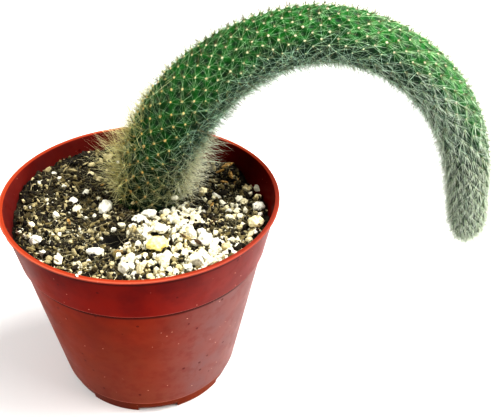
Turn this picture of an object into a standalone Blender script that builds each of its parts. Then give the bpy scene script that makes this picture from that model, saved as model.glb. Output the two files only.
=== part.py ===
# Potted monkey tail cactus: a plastic nursery pot filled with potting soil, one
# thick stem that arches over the rim, and loose perlite and pumice on the soil.
#
# Units are metres and +Z is up. The origin lies on the pot's axis, on the plane
# that the pot stands on. The stem arches over towards +X, a little towards +Y.

import math
import random

import bmesh
import bpy
import numpy as np
from mathutils import Matrix, Vector
from mathutils.bvhtree import BVHTree

# Gap between pieces that touch
GAP = 0.0003

# Pot: heights are above the standing plane, radii are of the outer side
POT_HEIGHT = 0.0870
POT_SIDES = 64
RIM_RADIUS = 0.0550
LIP_WIDTH = 0.0019
LIP_THICKNESS = 0.0009
LIP_OVERHANG = 0.0010
BAND_DEPTH = 0.0208
BAND_FOOT_RADIUS = 0.0500
BAND_STEP = 0.0008
WALL = 0.0011
FOOT_HEIGHT = 0.0065
BODY_FOOT_RADIUS = 0.0378
FOOT_TOP_RADIUS = 0.0368
FOOT_RADIUS = 0.0357
FOOT_RING_WIDTH = 0.0018
FLOOR_UNDERSIDE = 0.0030
FLOOR_THICKNESS = 0.0014
PAD_RADIUS = 0.0090

# Drain holes in the floor and notches in the foot ring, spread evenly
DRAIN_COUNT = 6
DRAIN_RADIUS = 0.0040
DRAIN_CIRCLE = 0.0225
NOTCH_COUNT = 6
NOTCH_WIDTH = 0.0166
NOTCH_HEIGHT = 0.0022
NOTCH_BEARING = math.radians(-79)

# Soil: mean height of its top, its rise towards the front, and its lumps
SOIL_LEVEL = 0.0765
SOIL_RISE = 0.050
SOIL_RINGS = 9
SOIL_LUMPS = 34
SOIL_SEED = 11
# Hollows in the soil: place, radius and depth
SOIL_HOLLOWS = (
    ((-0.0040, -0.0190), 0.0050, 0.0024),
    ((0.0330, 0.0200), 0.0130, 0.0042),
)

# Stem: heading of the arch, and its route as distance along the heading, height
# and radius to the areoles
STEM_FOOT = (0.0012, 0.0155)
STEM_HEADING = math.radians(8)
STEM_ROUTE = (
    (0.0003, 0.0600, 0.0136),
    (0.0003, 0.0775, 0.0141),
    (0.0052, 0.0980, 0.0144),
    (0.0180, 0.1205, 0.0140),
    (0.0395, 0.1380, 0.0124),
    (0.0660, 0.1453, 0.0111),
    (0.0925, 0.1395, 0.0107),
    (0.1165, 0.1225, 0.0105),
    (0.1325, 0.0985, 0.0102),
    (0.1408, 0.0690, 0.0088),
    (0.1450, 0.0445, 0.0078),
)
STEM_COLUMNS = 22
ROW_SPACING = 0.0042
TIP_LENGTH = 0.0110
TIP_ROWS = 5
BURIED_LENGTH = 0.0170
BURIED_ROWS = 3
TUBERCLE_HEIGHT = 0.0009
AREOLE_SIZE = 0.00042
SPINE_SEED = 7
# The two spines of an areole: first corner of the cap, bearing from the tipward
# direction in degrees, share of the lean and share of the length
TIPWARD_SPINE = (0, 0, 1.0, 1.0)
SIDEWAYS_SPINE = (2, 55, 0.6, 0.85)

# Perlite drift: centre, mean radius, thickness and the grains on its top
DRIFT_CENTRE = (0.0165, -0.0205)
DRIFT_RADIUS = 0.0215
DRIFT_THICKNESS = 0.0026
DRIFT_EDGE = 0.0008
DRIFT_SIDES = 40
DRIFT_RINGS = 10
DRIFT_GRAINS = 90
GRAIN_RADIUS = 0.0024
DRIFT_SEED = 5

# Loose chunks: place, length, width, height and turn of the length from +X
PERLITE_CHUNKS = (
    ((0.0026, -0.0016), 0.0068, 0.0036, 0.0026, 4),
    ((-0.0006, -0.0061), 0.0062, 0.0036, 0.0026, -4),
    ((-0.0153, 0.0022), 0.0082, 0.0048, 0.0036, 80),
    ((0.0096, -0.0183), 0.0074, 0.0048, 0.0030, 12),
    ((0.0466, 0.0060), 0.0050, 0.0038, 0.0026, 20),
    ((-0.0377, -0.0219), 0.0047, 0.0040, 0.0028, 15),
    ((-0.0139, -0.0285), 0.0060, 0.0038, 0.0026, 5),
)
PUMICE_CHUNKS = (
    ((0.0093, -0.0278), 0.0080, 0.0058, 0.0040, 20),
    ((0.0419, 0.0236), 0.0044, 0.0038, 0.0030, 15),
    ((0.0455, -0.0075), 0.0066, 0.0054, 0.0038, 25),
    ((0.0462, 0.0140), 0.0038, 0.0034, 0.0028, 40),
    ((0.0232, 0.0178), 0.0044, 0.0034, 0.0034, 80),
)
CHUNK_ROUGHNESS = 0.13
CHUNK_SEED = 3


def clear_scene():
    for item in list(bpy.data.objects):
        bpy.data.objects.remove(item, do_unlink=True)


def make_material(name, colour, roughness):
    material = bpy.data.materials.new(name)
    material.use_nodes = True
    shader = material.node_tree.nodes["Principled BSDF"]
    shader.inputs["Base Color"].default_value = (*colour, 1.0)
    shader.inputs["Roughness"].default_value = roughness
    shader.inputs["Metallic"].default_value = 0.0
    return material


def make_object(name, bm, material, smooth_angle=None):
    bmesh.ops.recalc_face_normals(bm, faces=bm.faces)
    mesh = bpy.data.meshes.new(name)
    bm.to_mesh(mesh)
    bm.free()
    mesh.materials.append(material)
    if smooth_angle is not None:
        mesh.shade_smooth()
        mesh.set_sharp_from_angle(angle=smooth_angle)
    item = bpy.data.objects.new(name, mesh)
    bpy.context.collection.objects.link(item)
    return item


def cut(item, cutter, name):
    cutter.hide_render = True
    cutter.display_type = 'WIRE'
    boolean = item.modifiers.new(name, 'BOOLEAN')
    boolean.operation = 'DIFFERENCE'
    boolean.solver = 'EXACT'
    boolean.object = cutter


# Pot

def band_radius(z):
    # Outer radius of the rim band, on a straight line from its foot to the lip
    top = POT_HEIGHT - LIP_THICKNESS
    foot = POT_HEIGHT - BAND_DEPTH
    share = (z - foot) / (top - foot)
    return BAND_FOOT_RADIUS + share * (RIM_RADIUS - LIP_OVERHANG - BAND_FOOT_RADIUS)


def body_radius(z):
    # Outer radius of the body, on a straight line from the foot to the band
    top = POT_HEIGHT - BAND_DEPTH
    share = (z - FOOT_HEIGHT) / (top - FOOT_HEIGHT)
    return BODY_FOOT_RADIUS + share * (BAND_FOOT_RADIUS - BAND_STEP - BODY_FOOT_RADIUS)


def inner_radius(z):
    # Radius of the pot's inside at a height above its floor
    if z > POT_HEIGHT - BAND_DEPTH + BAND_STEP:
        return band_radius(z) - WALL
    return body_radius(z) - WALL


def pot_profile():
    band_foot = POT_HEIGHT - BAND_DEPTH
    step_top = band_foot + BAND_STEP
    lip_under = POT_HEIGHT - LIP_THICKNESS
    floor_top = FLOOR_UNDERSIDE + FLOOR_THICKNESS
    ring_inside = FOOT_RADIUS - FOOT_RING_WIDTH
    return (
        (0.0, 0.0),
        (PAD_RADIUS, 0.0),
        (PAD_RADIUS, FLOOR_UNDERSIDE),
        (ring_inside, FLOOR_UNDERSIDE),
        (ring_inside, 0.0),
        (FOOT_RADIUS, 0.0),
        (FOOT_TOP_RADIUS, FOOT_HEIGHT - 0.0007),
        (BODY_FOOT_RADIUS, FOOT_HEIGHT),
        (body_radius(band_foot), band_foot),
        (BAND_FOOT_RADIUS, band_foot + 0.0003),
        (band_radius(lip_under), lip_under),
        (RIM_RADIUS, lip_under + 0.0001),
        (RIM_RADIUS, POT_HEIGHT),
        (RIM_RADIUS - LIP_WIDTH, POT_HEIGHT),
        (band_radius(step_top) - WALL, step_top + 0.0006),
        (body_radius(band_foot) - WALL, band_foot - 0.0004),
        (body_radius(floor_top) - WALL, floor_top),
        (0.0, floor_top),
    )


def make_pot(material):
    bm = bmesh.new()
    points = [bm.verts.new((r, 0.0, z)) for r, z in pot_profile()]
    edges = [bm.edges.new(pair) for pair in zip(points, points[1:])]
    bmesh.ops.spin(bm, geom=points + edges, axis=(0, 0, 1), cent=(0, 0, 0),
                   steps=POT_SIDES, angle=math.tau, use_merge=True)
    bmesh.ops.remove_doubles(bm, verts=bm.verts, dist=1e-6)
    pot = make_object("pot", bm, material, math.radians(25))
    cut(pot, make_drain_cutter(), "drain_holes")
    cut(pot, make_notch_cutter(), "foot_notches")
    return pot


def make_drain_cutter():
    bm = bmesh.new()
    for index in range(DRAIN_COUNT):
        bearing = NOTCH_BEARING + math.tau * (index + 0.5) / DRAIN_COUNT
        place = Matrix.Translation((DRAIN_CIRCLE * math.cos(bearing),
                                    DRAIN_CIRCLE * math.sin(bearing),
                                    FLOOR_UNDERSIDE + FLOOR_THICKNESS / 2))
        bmesh.ops.create_cone(bm, cap_ends=True, segments=16, radius1=DRAIN_RADIUS,
                              radius2=DRAIN_RADIUS, depth=3 * FLOOR_THICKNESS, matrix=place)
    return make_object("drain_cutter", bm, bpy.data.materials["pot"])


def make_notch_cutter():
    bm = bmesh.new()
    middle = FOOT_RADIUS - FOOT_RING_WIDTH / 2
    for index in range(NOTCH_COUNT):
        bearing = NOTCH_BEARING + math.tau * index / NOTCH_COUNT
        place = (Matrix.Rotation(bearing, 4, 'Z')
                 @ Matrix.Translation((middle, 0.0, 0.0))
                 @ Matrix.Diagonal((0.0070, NOTCH_WIDTH, 2 * NOTCH_HEIGHT, 1.0)))
        bmesh.ops.create_cube(bm, size=1.0, matrix=place)
    return make_object("notch_cutter", bm, bpy.data.materials["pot"])


# Soil

def drift_reach(bearing):
    # Outline of the drift: longer towards the front left and the back
    stretch = 0.11 * math.cos(2 * (bearing - math.radians(65)))
    pull = 0.08 * math.cos(bearing - math.radians(240))
    return DRIFT_RADIUS * (1 + stretch + pull)


def fade(distance, width):
    share = min(max(distance / width, 0.0), 1.0)
    return share * share * (3 - 2 * share)


def calm(x, y):
    # 0 under the drift and beside the stem, where the soil is plain, 1 elsewhere
    dx = x - DRIFT_CENTRE[0]
    dy = y - DRIFT_CENTRE[1]
    off_drift = math.hypot(dx, dy) - drift_reach(math.atan2(dy, dx)) - 0.0050
    off_stem = math.hypot(x - STEM_FOOT[0], y - STEM_FOOT[1]) - STEM_ROUTE[0][2] - 0.0040
    return fade(off_drift, 0.0060) * fade(off_stem, 0.0050)


def soil_plane(y):
    return SOIL_LEVEL - SOIL_RISE * y


def soil_height(x, y, lumps):
    height = 0.0
    for (cx, cy), radius, rise in lumps:
        height += rise * math.exp(-((x - cx) ** 2 + (y - cy) ** 2) / radius ** 2)
    return soil_plane(y) + calm(x, y) * height


def soil_lumps():
    draw = random.Random(SOIL_SEED)
    lumps = [(place, radius, -depth) for place, radius, depth in SOIL_HOLLOWS]
    for _ in range(SOIL_LUMPS):
        distance = 0.046 * math.sqrt(draw.random())
        bearing = draw.uniform(0, math.tau)
        place = (distance * math.cos(bearing), distance * math.sin(bearing))
        lumps.append((place, draw.uniform(0.0040, 0.0075), draw.uniform(-0.0012, 0.0017)))
    return lumps


def soil_edge(bearing, lumps):
    # Radius and height where the soil meets the wall, found in a few steps
    radius = inner_radius(SOIL_LEVEL) - GAP
    for _ in range(6):
        height = soil_height(radius * math.cos(bearing), radius * math.sin(bearing), lumps)
        radius = inner_radius(height) - GAP
    return radius, height


def make_soil(material):
    lumps = soil_lumps()
    floor = FLOOR_UNDERSIDE + FLOOR_THICKNESS + GAP
    step = POT_HEIGHT - BAND_DEPTH
    side = ((inner_radius(floor) - GAP, floor),
            (inner_radius(step) - GAP, step - 0.0006),
            (band_radius(step + BAND_STEP) - WALL - GAP, step + BAND_STEP + 0.0008))
    bm = bmesh.new()
    rings = [[] for _ in range(len(side) + SOIL_RINGS)]
    for index in range(POT_SIDES):
        bearing = math.tau * index / POT_SIDES
        across = Vector((math.cos(bearing), math.sin(bearing), 0.0))
        for ring, (radius, height) in zip(rings, side):
            ring.append(bm.verts.new(radius * across + Vector((0, 0, height))))
        edge, edge_height = soil_edge(bearing, lumps)
        for number in range(SOIL_RINGS):
            share = 1 - number / SOIL_RINGS
            point = edge * share * across
            point.z = edge_height if number == 0 else soil_height(point.x, point.y, lumps)
            rings[len(side) + number].append(bm.verts.new(point))
    for lower, upper in zip(rings, rings[1:]):
        for index in range(POT_SIDES):
            after = (index + 1) % POT_SIDES
            bm.faces.new((lower[index], lower[after], upper[after], upper[index]))
    bm.faces.new(reversed(rings[0]))
    middle = bm.verts.new((0.0, 0.0, soil_height(0.0, 0.0, lumps)))
    for index in range(POT_SIDES):
        bm.faces.new((rings[-1][index], rings[-1][(index + 1) % POT_SIDES], middle))
    bmesh.ops.triangulate(bm, faces=[face for face in bm.faces if len(face.verts) == 4])
    soil = make_object("soil", bm, material)
    cut(soil, make_stem_hole(), "stem_hole")
    return soil


def make_stem_hole():
    # The plain round hole that the foot of the stem stands in
    bottom = STEM_ROUTE[0][1] - GAP
    radius = (STEM_ROUTE[1][2] + GAP) / math.cos(math.pi / 40)
    along = STEM_ROUTE[0][0]
    centre = Vector((STEM_FOOT[0] + along * math.cos(STEM_HEADING),
                     STEM_FOOT[1] + along * math.sin(STEM_HEADING), bottom + 0.020))
    bm = bmesh.new()
    bmesh.ops.create_cone(bm, cap_ends=True, segments=40, radius1=radius, radius2=radius,
                          depth=0.040, matrix=Matrix.Translation(centre))
    return make_object("stem_hole_cutter", bm, bpy.data.materials["soil"])


# Stem

def natural_spline(knots, values, where):
    # Cubic spline through the values, with no bend at either end
    count = len(knots)
    width = np.diff(knots)
    matrix = np.eye(count)
    right = np.zeros(count)
    for i in range(1, count - 1):
        matrix[i, i - 1:i + 2] = width[i - 1], 2 * (width[i - 1] + width[i]), width[i]
        right[i] = 6 * ((values[i + 1] - values[i]) / width[i]
                        - (values[i] - values[i - 1]) / width[i - 1])
    bend = np.linalg.solve(matrix, right)
    i = np.clip(np.searchsorted(knots, where) - 1, 0, count - 2)
    a = (knots[i + 1] - where) / width[i]
    b = 1 - a
    return (a * values[i] + b * values[i + 1]
            + ((a ** 3 - a) * bend[i] + (b ** 3 - b) * bend[i + 1]) * width[i] ** 2 / 6)


def stem_rows():
    # Centre, direction, side and radius of each row of areoles from foot to tip
    route = np.array(STEM_ROUTE)
    knots = np.concatenate(([0.0], np.cumsum(np.hypot(*np.diff(route[:, :2], axis=0).T))))
    length = knots[-1]
    straight = length - TIP_LENGTH - BURIED_LENGTH
    rows = round(straight / ROW_SPACING)
    lower = np.linspace(0.0, BURIED_LENGTH, BURIED_ROWS)
    middle = BURIED_LENGTH + straight * np.arange(1, rows + 1) / rows
    turn = np.arange(1, TIP_ROWS + 1) / TIP_ROWS * math.pi / 2
    tip = length - TIP_LENGTH + TIP_LENGTH * np.sin(turn)
    at = np.concatenate((lower, middle, tip))
    along, height, radius = (natural_spline(knots, route[:, i], at) for i in range(3))
    before, after = (natural_spline(knots, route[:, i], at + 1e-4) for i in range(2))
    slope = np.stack((before - along, after - height), axis=1)
    slope[:len(lower)] = 0.0, 1.0
    slope /= np.linalg.norm(slope, axis=1)[:, None]
    along[:len(lower)] = route[0, 0]
    radius[len(lower) + rows:] *= np.cos(turn)
    ahead = Vector((math.cos(STEM_HEADING), math.sin(STEM_HEADING), 0.0))
    up = Vector((0.0, 0.0, 1.0))
    foot = Vector((*STEM_FOOT, 0.0))
    table = zip(along.tolist(), height.tolist(), radius.tolist(), slope.tolist())
    return [(foot + reach * ahead + level * up, run * ahead + rise * up, thick)
            for reach, level, thick, (run, rise) in table]


def spine_reach(place, outward, share):
    # Length of an areole's spines and how far they lean from upright: short and
    # low on the upper side, longer and shaggier below, at the tip and in the tufts
    # on the left, right and back of the foot
    low = (1 - outward.z) / 2
    near_tip = max(0.0, (share - 0.72) / 0.28)
    near_foot = max(0.0, 1 - (place.z - SOIL_LEVEL) / 0.034)
    facing = max(0.0, -outward.y)
    shaggy = max(low, near_tip)
    length = 0.0050 + 0.0033 * shaggy + near_foot * (0.0026 - 0.0046 * facing)
    lean = math.radians(66 - 18 * shaggy - 14 * near_foot * (1 - facing))
    return length, lean


def make_stem(material):
    rows = stem_rows()
    draw = random.Random(SPINE_SEED)
    bm = bmesh.new()
    side = Vector((-math.sin(STEM_HEADING), math.cos(STEM_HEADING), 0.0))
    corners = []
    areoles = []
    for row, (centre, forward, radius) in enumerate(rows[:-1]):
        above = side.cross(forward)
        column_width = math.tau * radius / STEM_COLUMNS
        size = min(AREOLE_SIZE, 0.3 * column_width)
        ring = []
        for column in range(STEM_COLUMNS):
            turn = math.tau * column / STEM_COLUMNS
            outward = math.cos(turn) * above + math.sin(turn) * side
            around = forward.cross(outward)
            if row >= BURIED_ROWS and (row + column) % 2 == 0:
                peak = centre + radius * outward
                cap = [bm.verts.new(peak + size * step)
                       for step in (around, forward, -around, -forward)]
                ring.append(cap)
                areoles.append((cap, peak, outward, forward, around, row / len(rows)))
            else:
                depth = min(TUBERCLE_HEIGHT, 0.12 * radius) if row >= BURIED_ROWS - 1 else 0.0
                ring.append([bm.verts.new(centre + (radius - depth) * outward)])
        corners.append(ring)
    join_rows(bm, corners)
    close_ends(bm, corners, rows[-1][0])
    for areole in areoles:
        grow_spines(bm, areole, draw)
    return make_object("stem", bm, material)


def join_rows(bm, corners):
    # Each patch between two rows, fanned from a corner in the valley, so that
    # the crease runs between the tubercles
    def toward(ring, column, direction):
        vertices = ring[column % STEM_COLUMNS]
        return vertices[direction] if len(vertices) == 4 else vertices[0]

    east, north, west, south = range(4)
    for lower, upper in zip(corners, corners[1:]):
        for column in range(STEM_COLUMNS):
            outline = [toward(lower, column, north), toward(lower, column, east),
                       toward(lower, column + 1, west), toward(lower, column + 1, north),
                       toward(upper, column + 1, south), toward(upper, column + 1, west),
                       toward(upper, column, east), toward(upper, column, south)]
            valley = next(i for i in range(0, 8, 2) if outline[i] is outline[i + 1])
            outline = outline[valley:] + outline[:valley]
            loop = list(dict.fromkeys(outline))
            for second, third in zip(loop[1:], loop[2:]):
                bm.faces.new((loop[0], second, third))


def close_ends(bm, corners, tip):
    bm.faces.new([vertices[0] for vertices in reversed(corners[0])])
    end = bm.verts.new(tip)
    last = corners[-1]
    for column in range(STEM_COLUMNS):
        here, following = last[column], last[(column + 1) % STEM_COLUMNS]
        chain = []
        if len(here) == 4:
            chain += [here[1], here[0]]
        else:
            chain += [here[0]]
        if len(following) == 4:
            chain += [following[2], following[1]]
        else:
            chain += [following[0]]
        for first, second in zip(chain, chain[1:]):
            bm.faces.new((first, second, end))


def grow_spines(bm, areole, draw):
    # Two spines on the areole's cap: one leans towards the tip, one stands
    # steeper and leans to the side
    cap, peak, outward, forward, around, share = areole
    length, lean = spine_reach(peak, outward, share)
    for first, bearing, steepness, shortness in (TIPWARD_SPINE, SIDEWAYS_SPINE):
        base = (cap[first], cap[first + 1], cap[(first + 2) % 4])
        tilt = steepness * lean
        heading = math.radians(bearing + draw.uniform(-9, 9))
        flat = math.cos(heading) * forward + math.sin(heading) * around
        direction = math.cos(tilt) * outward + math.sin(tilt) * flat
        middle = sum((vertex.co for vertex in base), Vector()) / 3
        point = bm.verts.new(middle + draw.uniform(0.9, 1.05) * shortness * length * direction)
        for i in range(3):
            bm.faces.new((base[i], base[(i + 1) % 3], point))


# Perlite drift

def make_drift(material):
    draw = random.Random(DRIFT_SEED)
    grains = []
    for _ in range(DRIFT_GRAINS):
        bearing = draw.uniform(0, math.tau)
        distance = 0.96 * drift_reach(bearing) * math.sqrt(draw.random())
        grains.append((distance * math.cos(bearing), distance * math.sin(bearing),
                       GRAIN_RADIUS * draw.uniform(0.7, 1.25)))

    def top(x, y, share):
        # A low heap with domes where its grains lie
        heap = DRIFT_EDGE + (DRIFT_THICKNESS - DRIFT_EDGE) * (1 - share ** 3)
        dome = 0.0
        for gx, gy, radius in grains:
            near = 1 - ((x - gx) ** 2 + (y - gy) ** 2) / radius ** 2
            if near > 0:
                dome = max(dome, 0.75 * radius * math.sqrt(near))
        return heap + dome * min(1.0, 4 * (1 - share))

    bm = bmesh.new()
    rings = []
    for number in range(DRIFT_RINGS):
        share = 1 - number / DRIFT_RINGS
        rings.append([])
        for index in range(DRIFT_SIDES):
            bearing = math.tau * (index + 0.5 * (number % 2)) / DRIFT_SIDES
            reach = share * drift_reach(bearing)
            x, y = reach * math.cos(bearing), reach * math.sin(bearing)
            rings[-1].append(bm.verts.new(drift_point(x, y, top(x, y, share))))
    for outer, inner in zip(rings, rings[1:]):
        for index in range(DRIFT_SIDES):
            after = (index + 1) % DRIFT_SIDES
            bm.faces.new((outer[index], outer[after], inner[after], inner[index]))
    middle = bm.verts.new(drift_point(0.0, 0.0, top(0.0, 0.0, 0.0)))
    for index in range(DRIFT_SIDES):
        bm.faces.new((rings[-1][index], rings[-1][(index + 1) % DRIFT_SIDES], middle))
    underside = []
    for vertex in rings[0]:
        low = vertex.co.copy()
        low.z = soil_plane(low.y) + GAP
        underside.append(bm.verts.new(low))
    for index in range(DRIFT_SIDES):
        after = (index + 1) % DRIFT_SIDES
        bm.faces.new((underside[index], underside[after], rings[0][after], rings[0][index]))
    bm.faces.new(reversed(underside))
    bmesh.ops.triangulate(bm, faces=[face for face in bm.faces if len(face.verts) == 4])
    return make_object("perlite_drift", bm, material)


def drift_point(x, y, height):
    y_world = DRIFT_CENTRE[1] + y
    return Vector((DRIFT_CENTRE[0] + x, y_world, soil_plane(y_world) + GAP + height))


# Loose chunks

def surface_tree(item):
    depsgraph = bpy.context.evaluated_depsgraph_get()
    return BVHTree.FromObject(item, depsgraph)


def seat_height(trees, place, radius):
    # Highest point of what lies below a chunk's flat underside
    high = 0.0
    for ring in range(4):
        for step in range(16):
            bearing = math.tau * step / 16
            reach = radius * ring / 3
            start = Vector((place[0] + reach * math.cos(bearing),
                            place[1] + reach * math.sin(bearing), POT_HEIGHT + 0.02))
            for tree in trees:
                hit = tree.ray_cast(start, Vector((0, 0, -1)))[0]
                if hit is not None:
                    high = max(high, hit.z)
    return high


def make_chunk(name, size, trees, draw, material):
    place, length, width, height, turn = size
    bm = bmesh.new()
    bmesh.ops.create_icosphere(bm, subdivisions=2, radius=0.5)
    for vertex in bm.verts:
        vertex.co *= 1 + draw.uniform(-CHUNK_ROUGHNESS, CHUNK_ROUGHNESS)
        vertex.co.z = max(vertex.co.z, -0.30)
    bottom = min(vertex.co.z for vertex in bm.verts)
    seat = seat_height(trees, place, 0.30 * (length + width) / 2 + 0.0006)
    scale = Matrix.Diagonal((length, width, height / (0.5 - bottom), 1.0))
    spot = Matrix.Translation((*place, seat + GAP + 0.0001))
    lift = Matrix.Translation((0.0, 0.0, -bottom))
    move = spot @ Matrix.Rotation(math.radians(turn), 4, 'Z') @ scale @ lift
    bmesh.ops.transform(bm, matrix=move, verts=bm.verts)
    return make_object(name, bm, material)


def make_chunks(kind, sizes, trees, draw, material):
    for number, size in enumerate(sizes, start=1):
        make_chunk(f"{kind}_{number}", size, trees, draw, material)


def main():
    clear_scene()
    plastic = make_material("pot", (0.36, 0.045, 0.020), 0.35)
    peat = make_material("soil", (0.045, 0.030, 0.020), 0.95)
    skin = make_material("stem", (0.060, 0.210, 0.070), 0.60)
    perlite = make_material("perlite", (0.86, 0.84, 0.76), 0.90)
    pumice = make_material("pumice", (0.72, 0.62, 0.36), 0.90)
    make_pot(plastic)
    soil = make_soil(peat)
    make_stem(skin)
    drift = make_drift(perlite)
    bpy.context.view_layer.update()
    trees = [surface_tree(soil), surface_tree(drift)]
    draw = random.Random(CHUNK_SEED)
    make_chunks("perlite_chunk", PERLITE_CHUNKS, trees, draw, perlite)
    make_chunks("pumice_chunk", PUMICE_CHUNKS, trees, draw, pumice)


main()
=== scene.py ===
# Potted monkey tail cactus: the looks of the pot, the soil, the perlite and the hairy stem,
# in metres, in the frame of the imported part. The arch leans over towards +X.

import math
import random

import bmesh
import bpy
import numpy as np
from mathutils import Matrix, Vector


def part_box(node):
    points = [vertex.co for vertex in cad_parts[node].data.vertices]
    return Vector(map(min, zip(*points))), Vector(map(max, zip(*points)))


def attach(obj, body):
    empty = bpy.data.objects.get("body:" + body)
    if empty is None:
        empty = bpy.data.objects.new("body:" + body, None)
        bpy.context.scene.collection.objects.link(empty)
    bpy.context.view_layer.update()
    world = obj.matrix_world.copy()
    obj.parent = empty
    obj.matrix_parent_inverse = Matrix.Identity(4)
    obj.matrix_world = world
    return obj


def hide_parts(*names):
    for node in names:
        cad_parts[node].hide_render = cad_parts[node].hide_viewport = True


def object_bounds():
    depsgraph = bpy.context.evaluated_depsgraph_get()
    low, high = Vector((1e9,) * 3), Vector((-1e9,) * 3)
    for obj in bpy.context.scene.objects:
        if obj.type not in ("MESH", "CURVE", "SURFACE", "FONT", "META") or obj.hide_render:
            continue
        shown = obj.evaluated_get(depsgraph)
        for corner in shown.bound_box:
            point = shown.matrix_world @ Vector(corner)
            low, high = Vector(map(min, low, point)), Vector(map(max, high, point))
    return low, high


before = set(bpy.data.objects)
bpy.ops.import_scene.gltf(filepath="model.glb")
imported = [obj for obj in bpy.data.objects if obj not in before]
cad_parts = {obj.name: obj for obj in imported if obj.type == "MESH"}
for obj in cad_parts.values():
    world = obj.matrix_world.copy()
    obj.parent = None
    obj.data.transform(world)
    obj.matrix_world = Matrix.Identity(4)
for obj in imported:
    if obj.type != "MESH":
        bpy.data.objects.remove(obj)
cadLow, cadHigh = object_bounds()
print("frame loaded,", len(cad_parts), "nodes")


# Meshes and pieces

def addObject(name, data):
    # An object at the origin, linked into the scene
    item = bpy.data.objects.new(name, data)
    bpy.context.scene.collection.objects.link(item)
    return item


def addMark(mesh, label, values):
    # One number for each corner, which the materials read by its label
    mark = mesh.attributes.new(label, "FLOAT", "POINT")
    mark.data.foreach_set("value", np.asarray(values, np.float32).ravel())


def fillMesh(name, points, faces, smooth=True, **marks):
    # A mesh from whole arrays: its corners, its faces as one or more arrays, and for each
    # mark one number for each corner
    groups = faces if isinstance(faces, list) else [faces]
    sizes = np.concatenate([np.full(len(group), group.shape[1]) for group in groups])
    corners = np.concatenate([group.ravel() for group in groups])
    mesh = bpy.data.meshes.new(name)
    mesh.vertices.add(len(points))
    mesh.vertices.foreach_set("co", np.asarray(points, np.float32).ravel())
    mesh.loops.add(len(corners))
    mesh.loops.foreach_set("vertex_index", corners.astype(np.int32))
    mesh.polygons.add(len(sizes))
    mesh.polygons.foreach_set("loop_start", (np.cumsum(sizes) - sizes).astype(np.int32))
    mesh.polygons.foreach_set("use_smooth", np.full(len(sizes), smooth))
    for label, values in marks.items():
        addMark(mesh, label, values)
    mesh.update(calc_edges=True)
    mesh.validate()
    return mesh


def closeMesh(name, bm):
    # A mesh of what was built in bm
    mesh = bpy.data.meshes.new(name)
    bm.to_mesh(mesh)
    bm.free()
    return mesh


def modifiedMesh(mesh, kind, **settings):
    # The mesh as one modifier leaves it
    holder = addObject("holder", mesh)
    modifier = holder.modifiers.new("change", kind)
    for key, value in settings.items():
        setattr(modifier, key, value)
    graph = bpy.context.evaluated_depsgraph_get()
    changed = bpy.data.meshes.new_from_object(holder.evaluated_get(graph))
    bpy.data.objects.remove(holder)
    return changed


def readCorners(mesh, label="co"):
    # The place, or the normal, of each corner of a mesh
    values = np.empty(len(mesh.vertices) * 3, np.float32)
    mesh.vertices.foreach_get(label, values)
    return values.reshape(-1, 3)


def moveCorners(mesh, points):
    # Puts each corner of a mesh at its new place
    mesh.vertices.foreach_set("co", points.astype(np.float32).ravel())
    mesh.update()


def addPiece(name, mesh, material, slot, *nodes):
    # An object that rides on the part and stands for these CAD nodes
    piece = addObject(name, mesh)
    mesh.materials.clear()
    mesh.materials.append(material)
    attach(piece, "root")
    if nodes:
        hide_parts(*nodes)


def gridFaces(rows, columns, closed=True):
    # Quads between neighbours of a grid of corners, its last column joined to its first
    across = np.arange(columns if closed else columns - 1)
    start = np.arange(rows - 1)[:, None] * columns
    here = start + across
    beside = start + (across + 1) % columns
    return np.stack((here, beside, beside + columns, here + columns), axis=-1).reshape(-1, 4)


def fanFaces(ring, middle, flip=False):
    # Triangles from each side of a ring of corners to one middle corner
    after = np.roll(ring, -1)
    pair = (after, ring) if flip else (ring, after)
    return np.stack((*pair, np.full(len(ring), middle)), axis=-1)


def tubeFaces(rows, columns):
    # A closed tube: quads between its rings, and at either end a fan to one more corner
    ring = np.arange(columns)
    bottom = fanFaces(ring, rows * columns, flip=True)
    top = fanFaces(ring + (rows - 1) * columns, rows * columns + 1)
    return [gridFaces(rows, columns), np.concatenate((bottom, top))]


def repeatFaces(faces, count, corners):
    # The faces of one shape, for so many copies of it with so many corners each
    return (faces + np.arange(count)[:, None, None] * corners).reshape(-1, 3)


def unit(vectors):
    # The same directions at length 1
    return vectors / np.linalg.norm(vectors, axis=-1, keepdims=True)


def triples(x, y, z=0.0):
    # Places or directions from arrays of their x, y and z
    return np.stack(np.broadcast_arrays(x, y, z), axis=-1)


def turnFrom(bearing, middle):
    # The turn from a middle bearing, from -pi to pi
    return (bearing - middle + math.pi) % math.tau - math.pi


def smoothStep(value, low, high):
    # 0 below low, 1 above high, 3t^2 - 2t^3 in between
    t = np.clip((value - low) / (high - low), 0, 1)
    return t * t * (3 - 2 * t)


def bell(distance, reach, power=2):
    # 1 at no distance, 1/e at the reach: e to the minus power of distance over reach
    return np.exp(-(distance / reach) ** power)


def smoothNoise(points, cell, seed):
    # From -1 to 1: random numbers on a cubic lattice, blended by the smooth step of the
    # place inside its cell
    table = np.random.default_rng(seed).uniform(-1, 1, (32, 32, 32))
    scaled = points / cell
    corner = np.floor(scaled).astype(int)
    part = smoothStep(scaled - corner, 0, 1)
    total = np.zeros(points.shape[:-1])
    for step in np.ndindex(2, 2, 2):
        weight = np.prod(np.where(step, part, 1 - part), axis=-1)
        total += weight * table[tuple(np.moveaxis((corner + step) % 32, -1, 0))]
    return total


def foldedNoise(points, cell, seed, middle):
    # Round lumps with creases between them: a middle value less the noise without its sign
    return middle - np.abs(smoothNoise(points, cell, seed))


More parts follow.
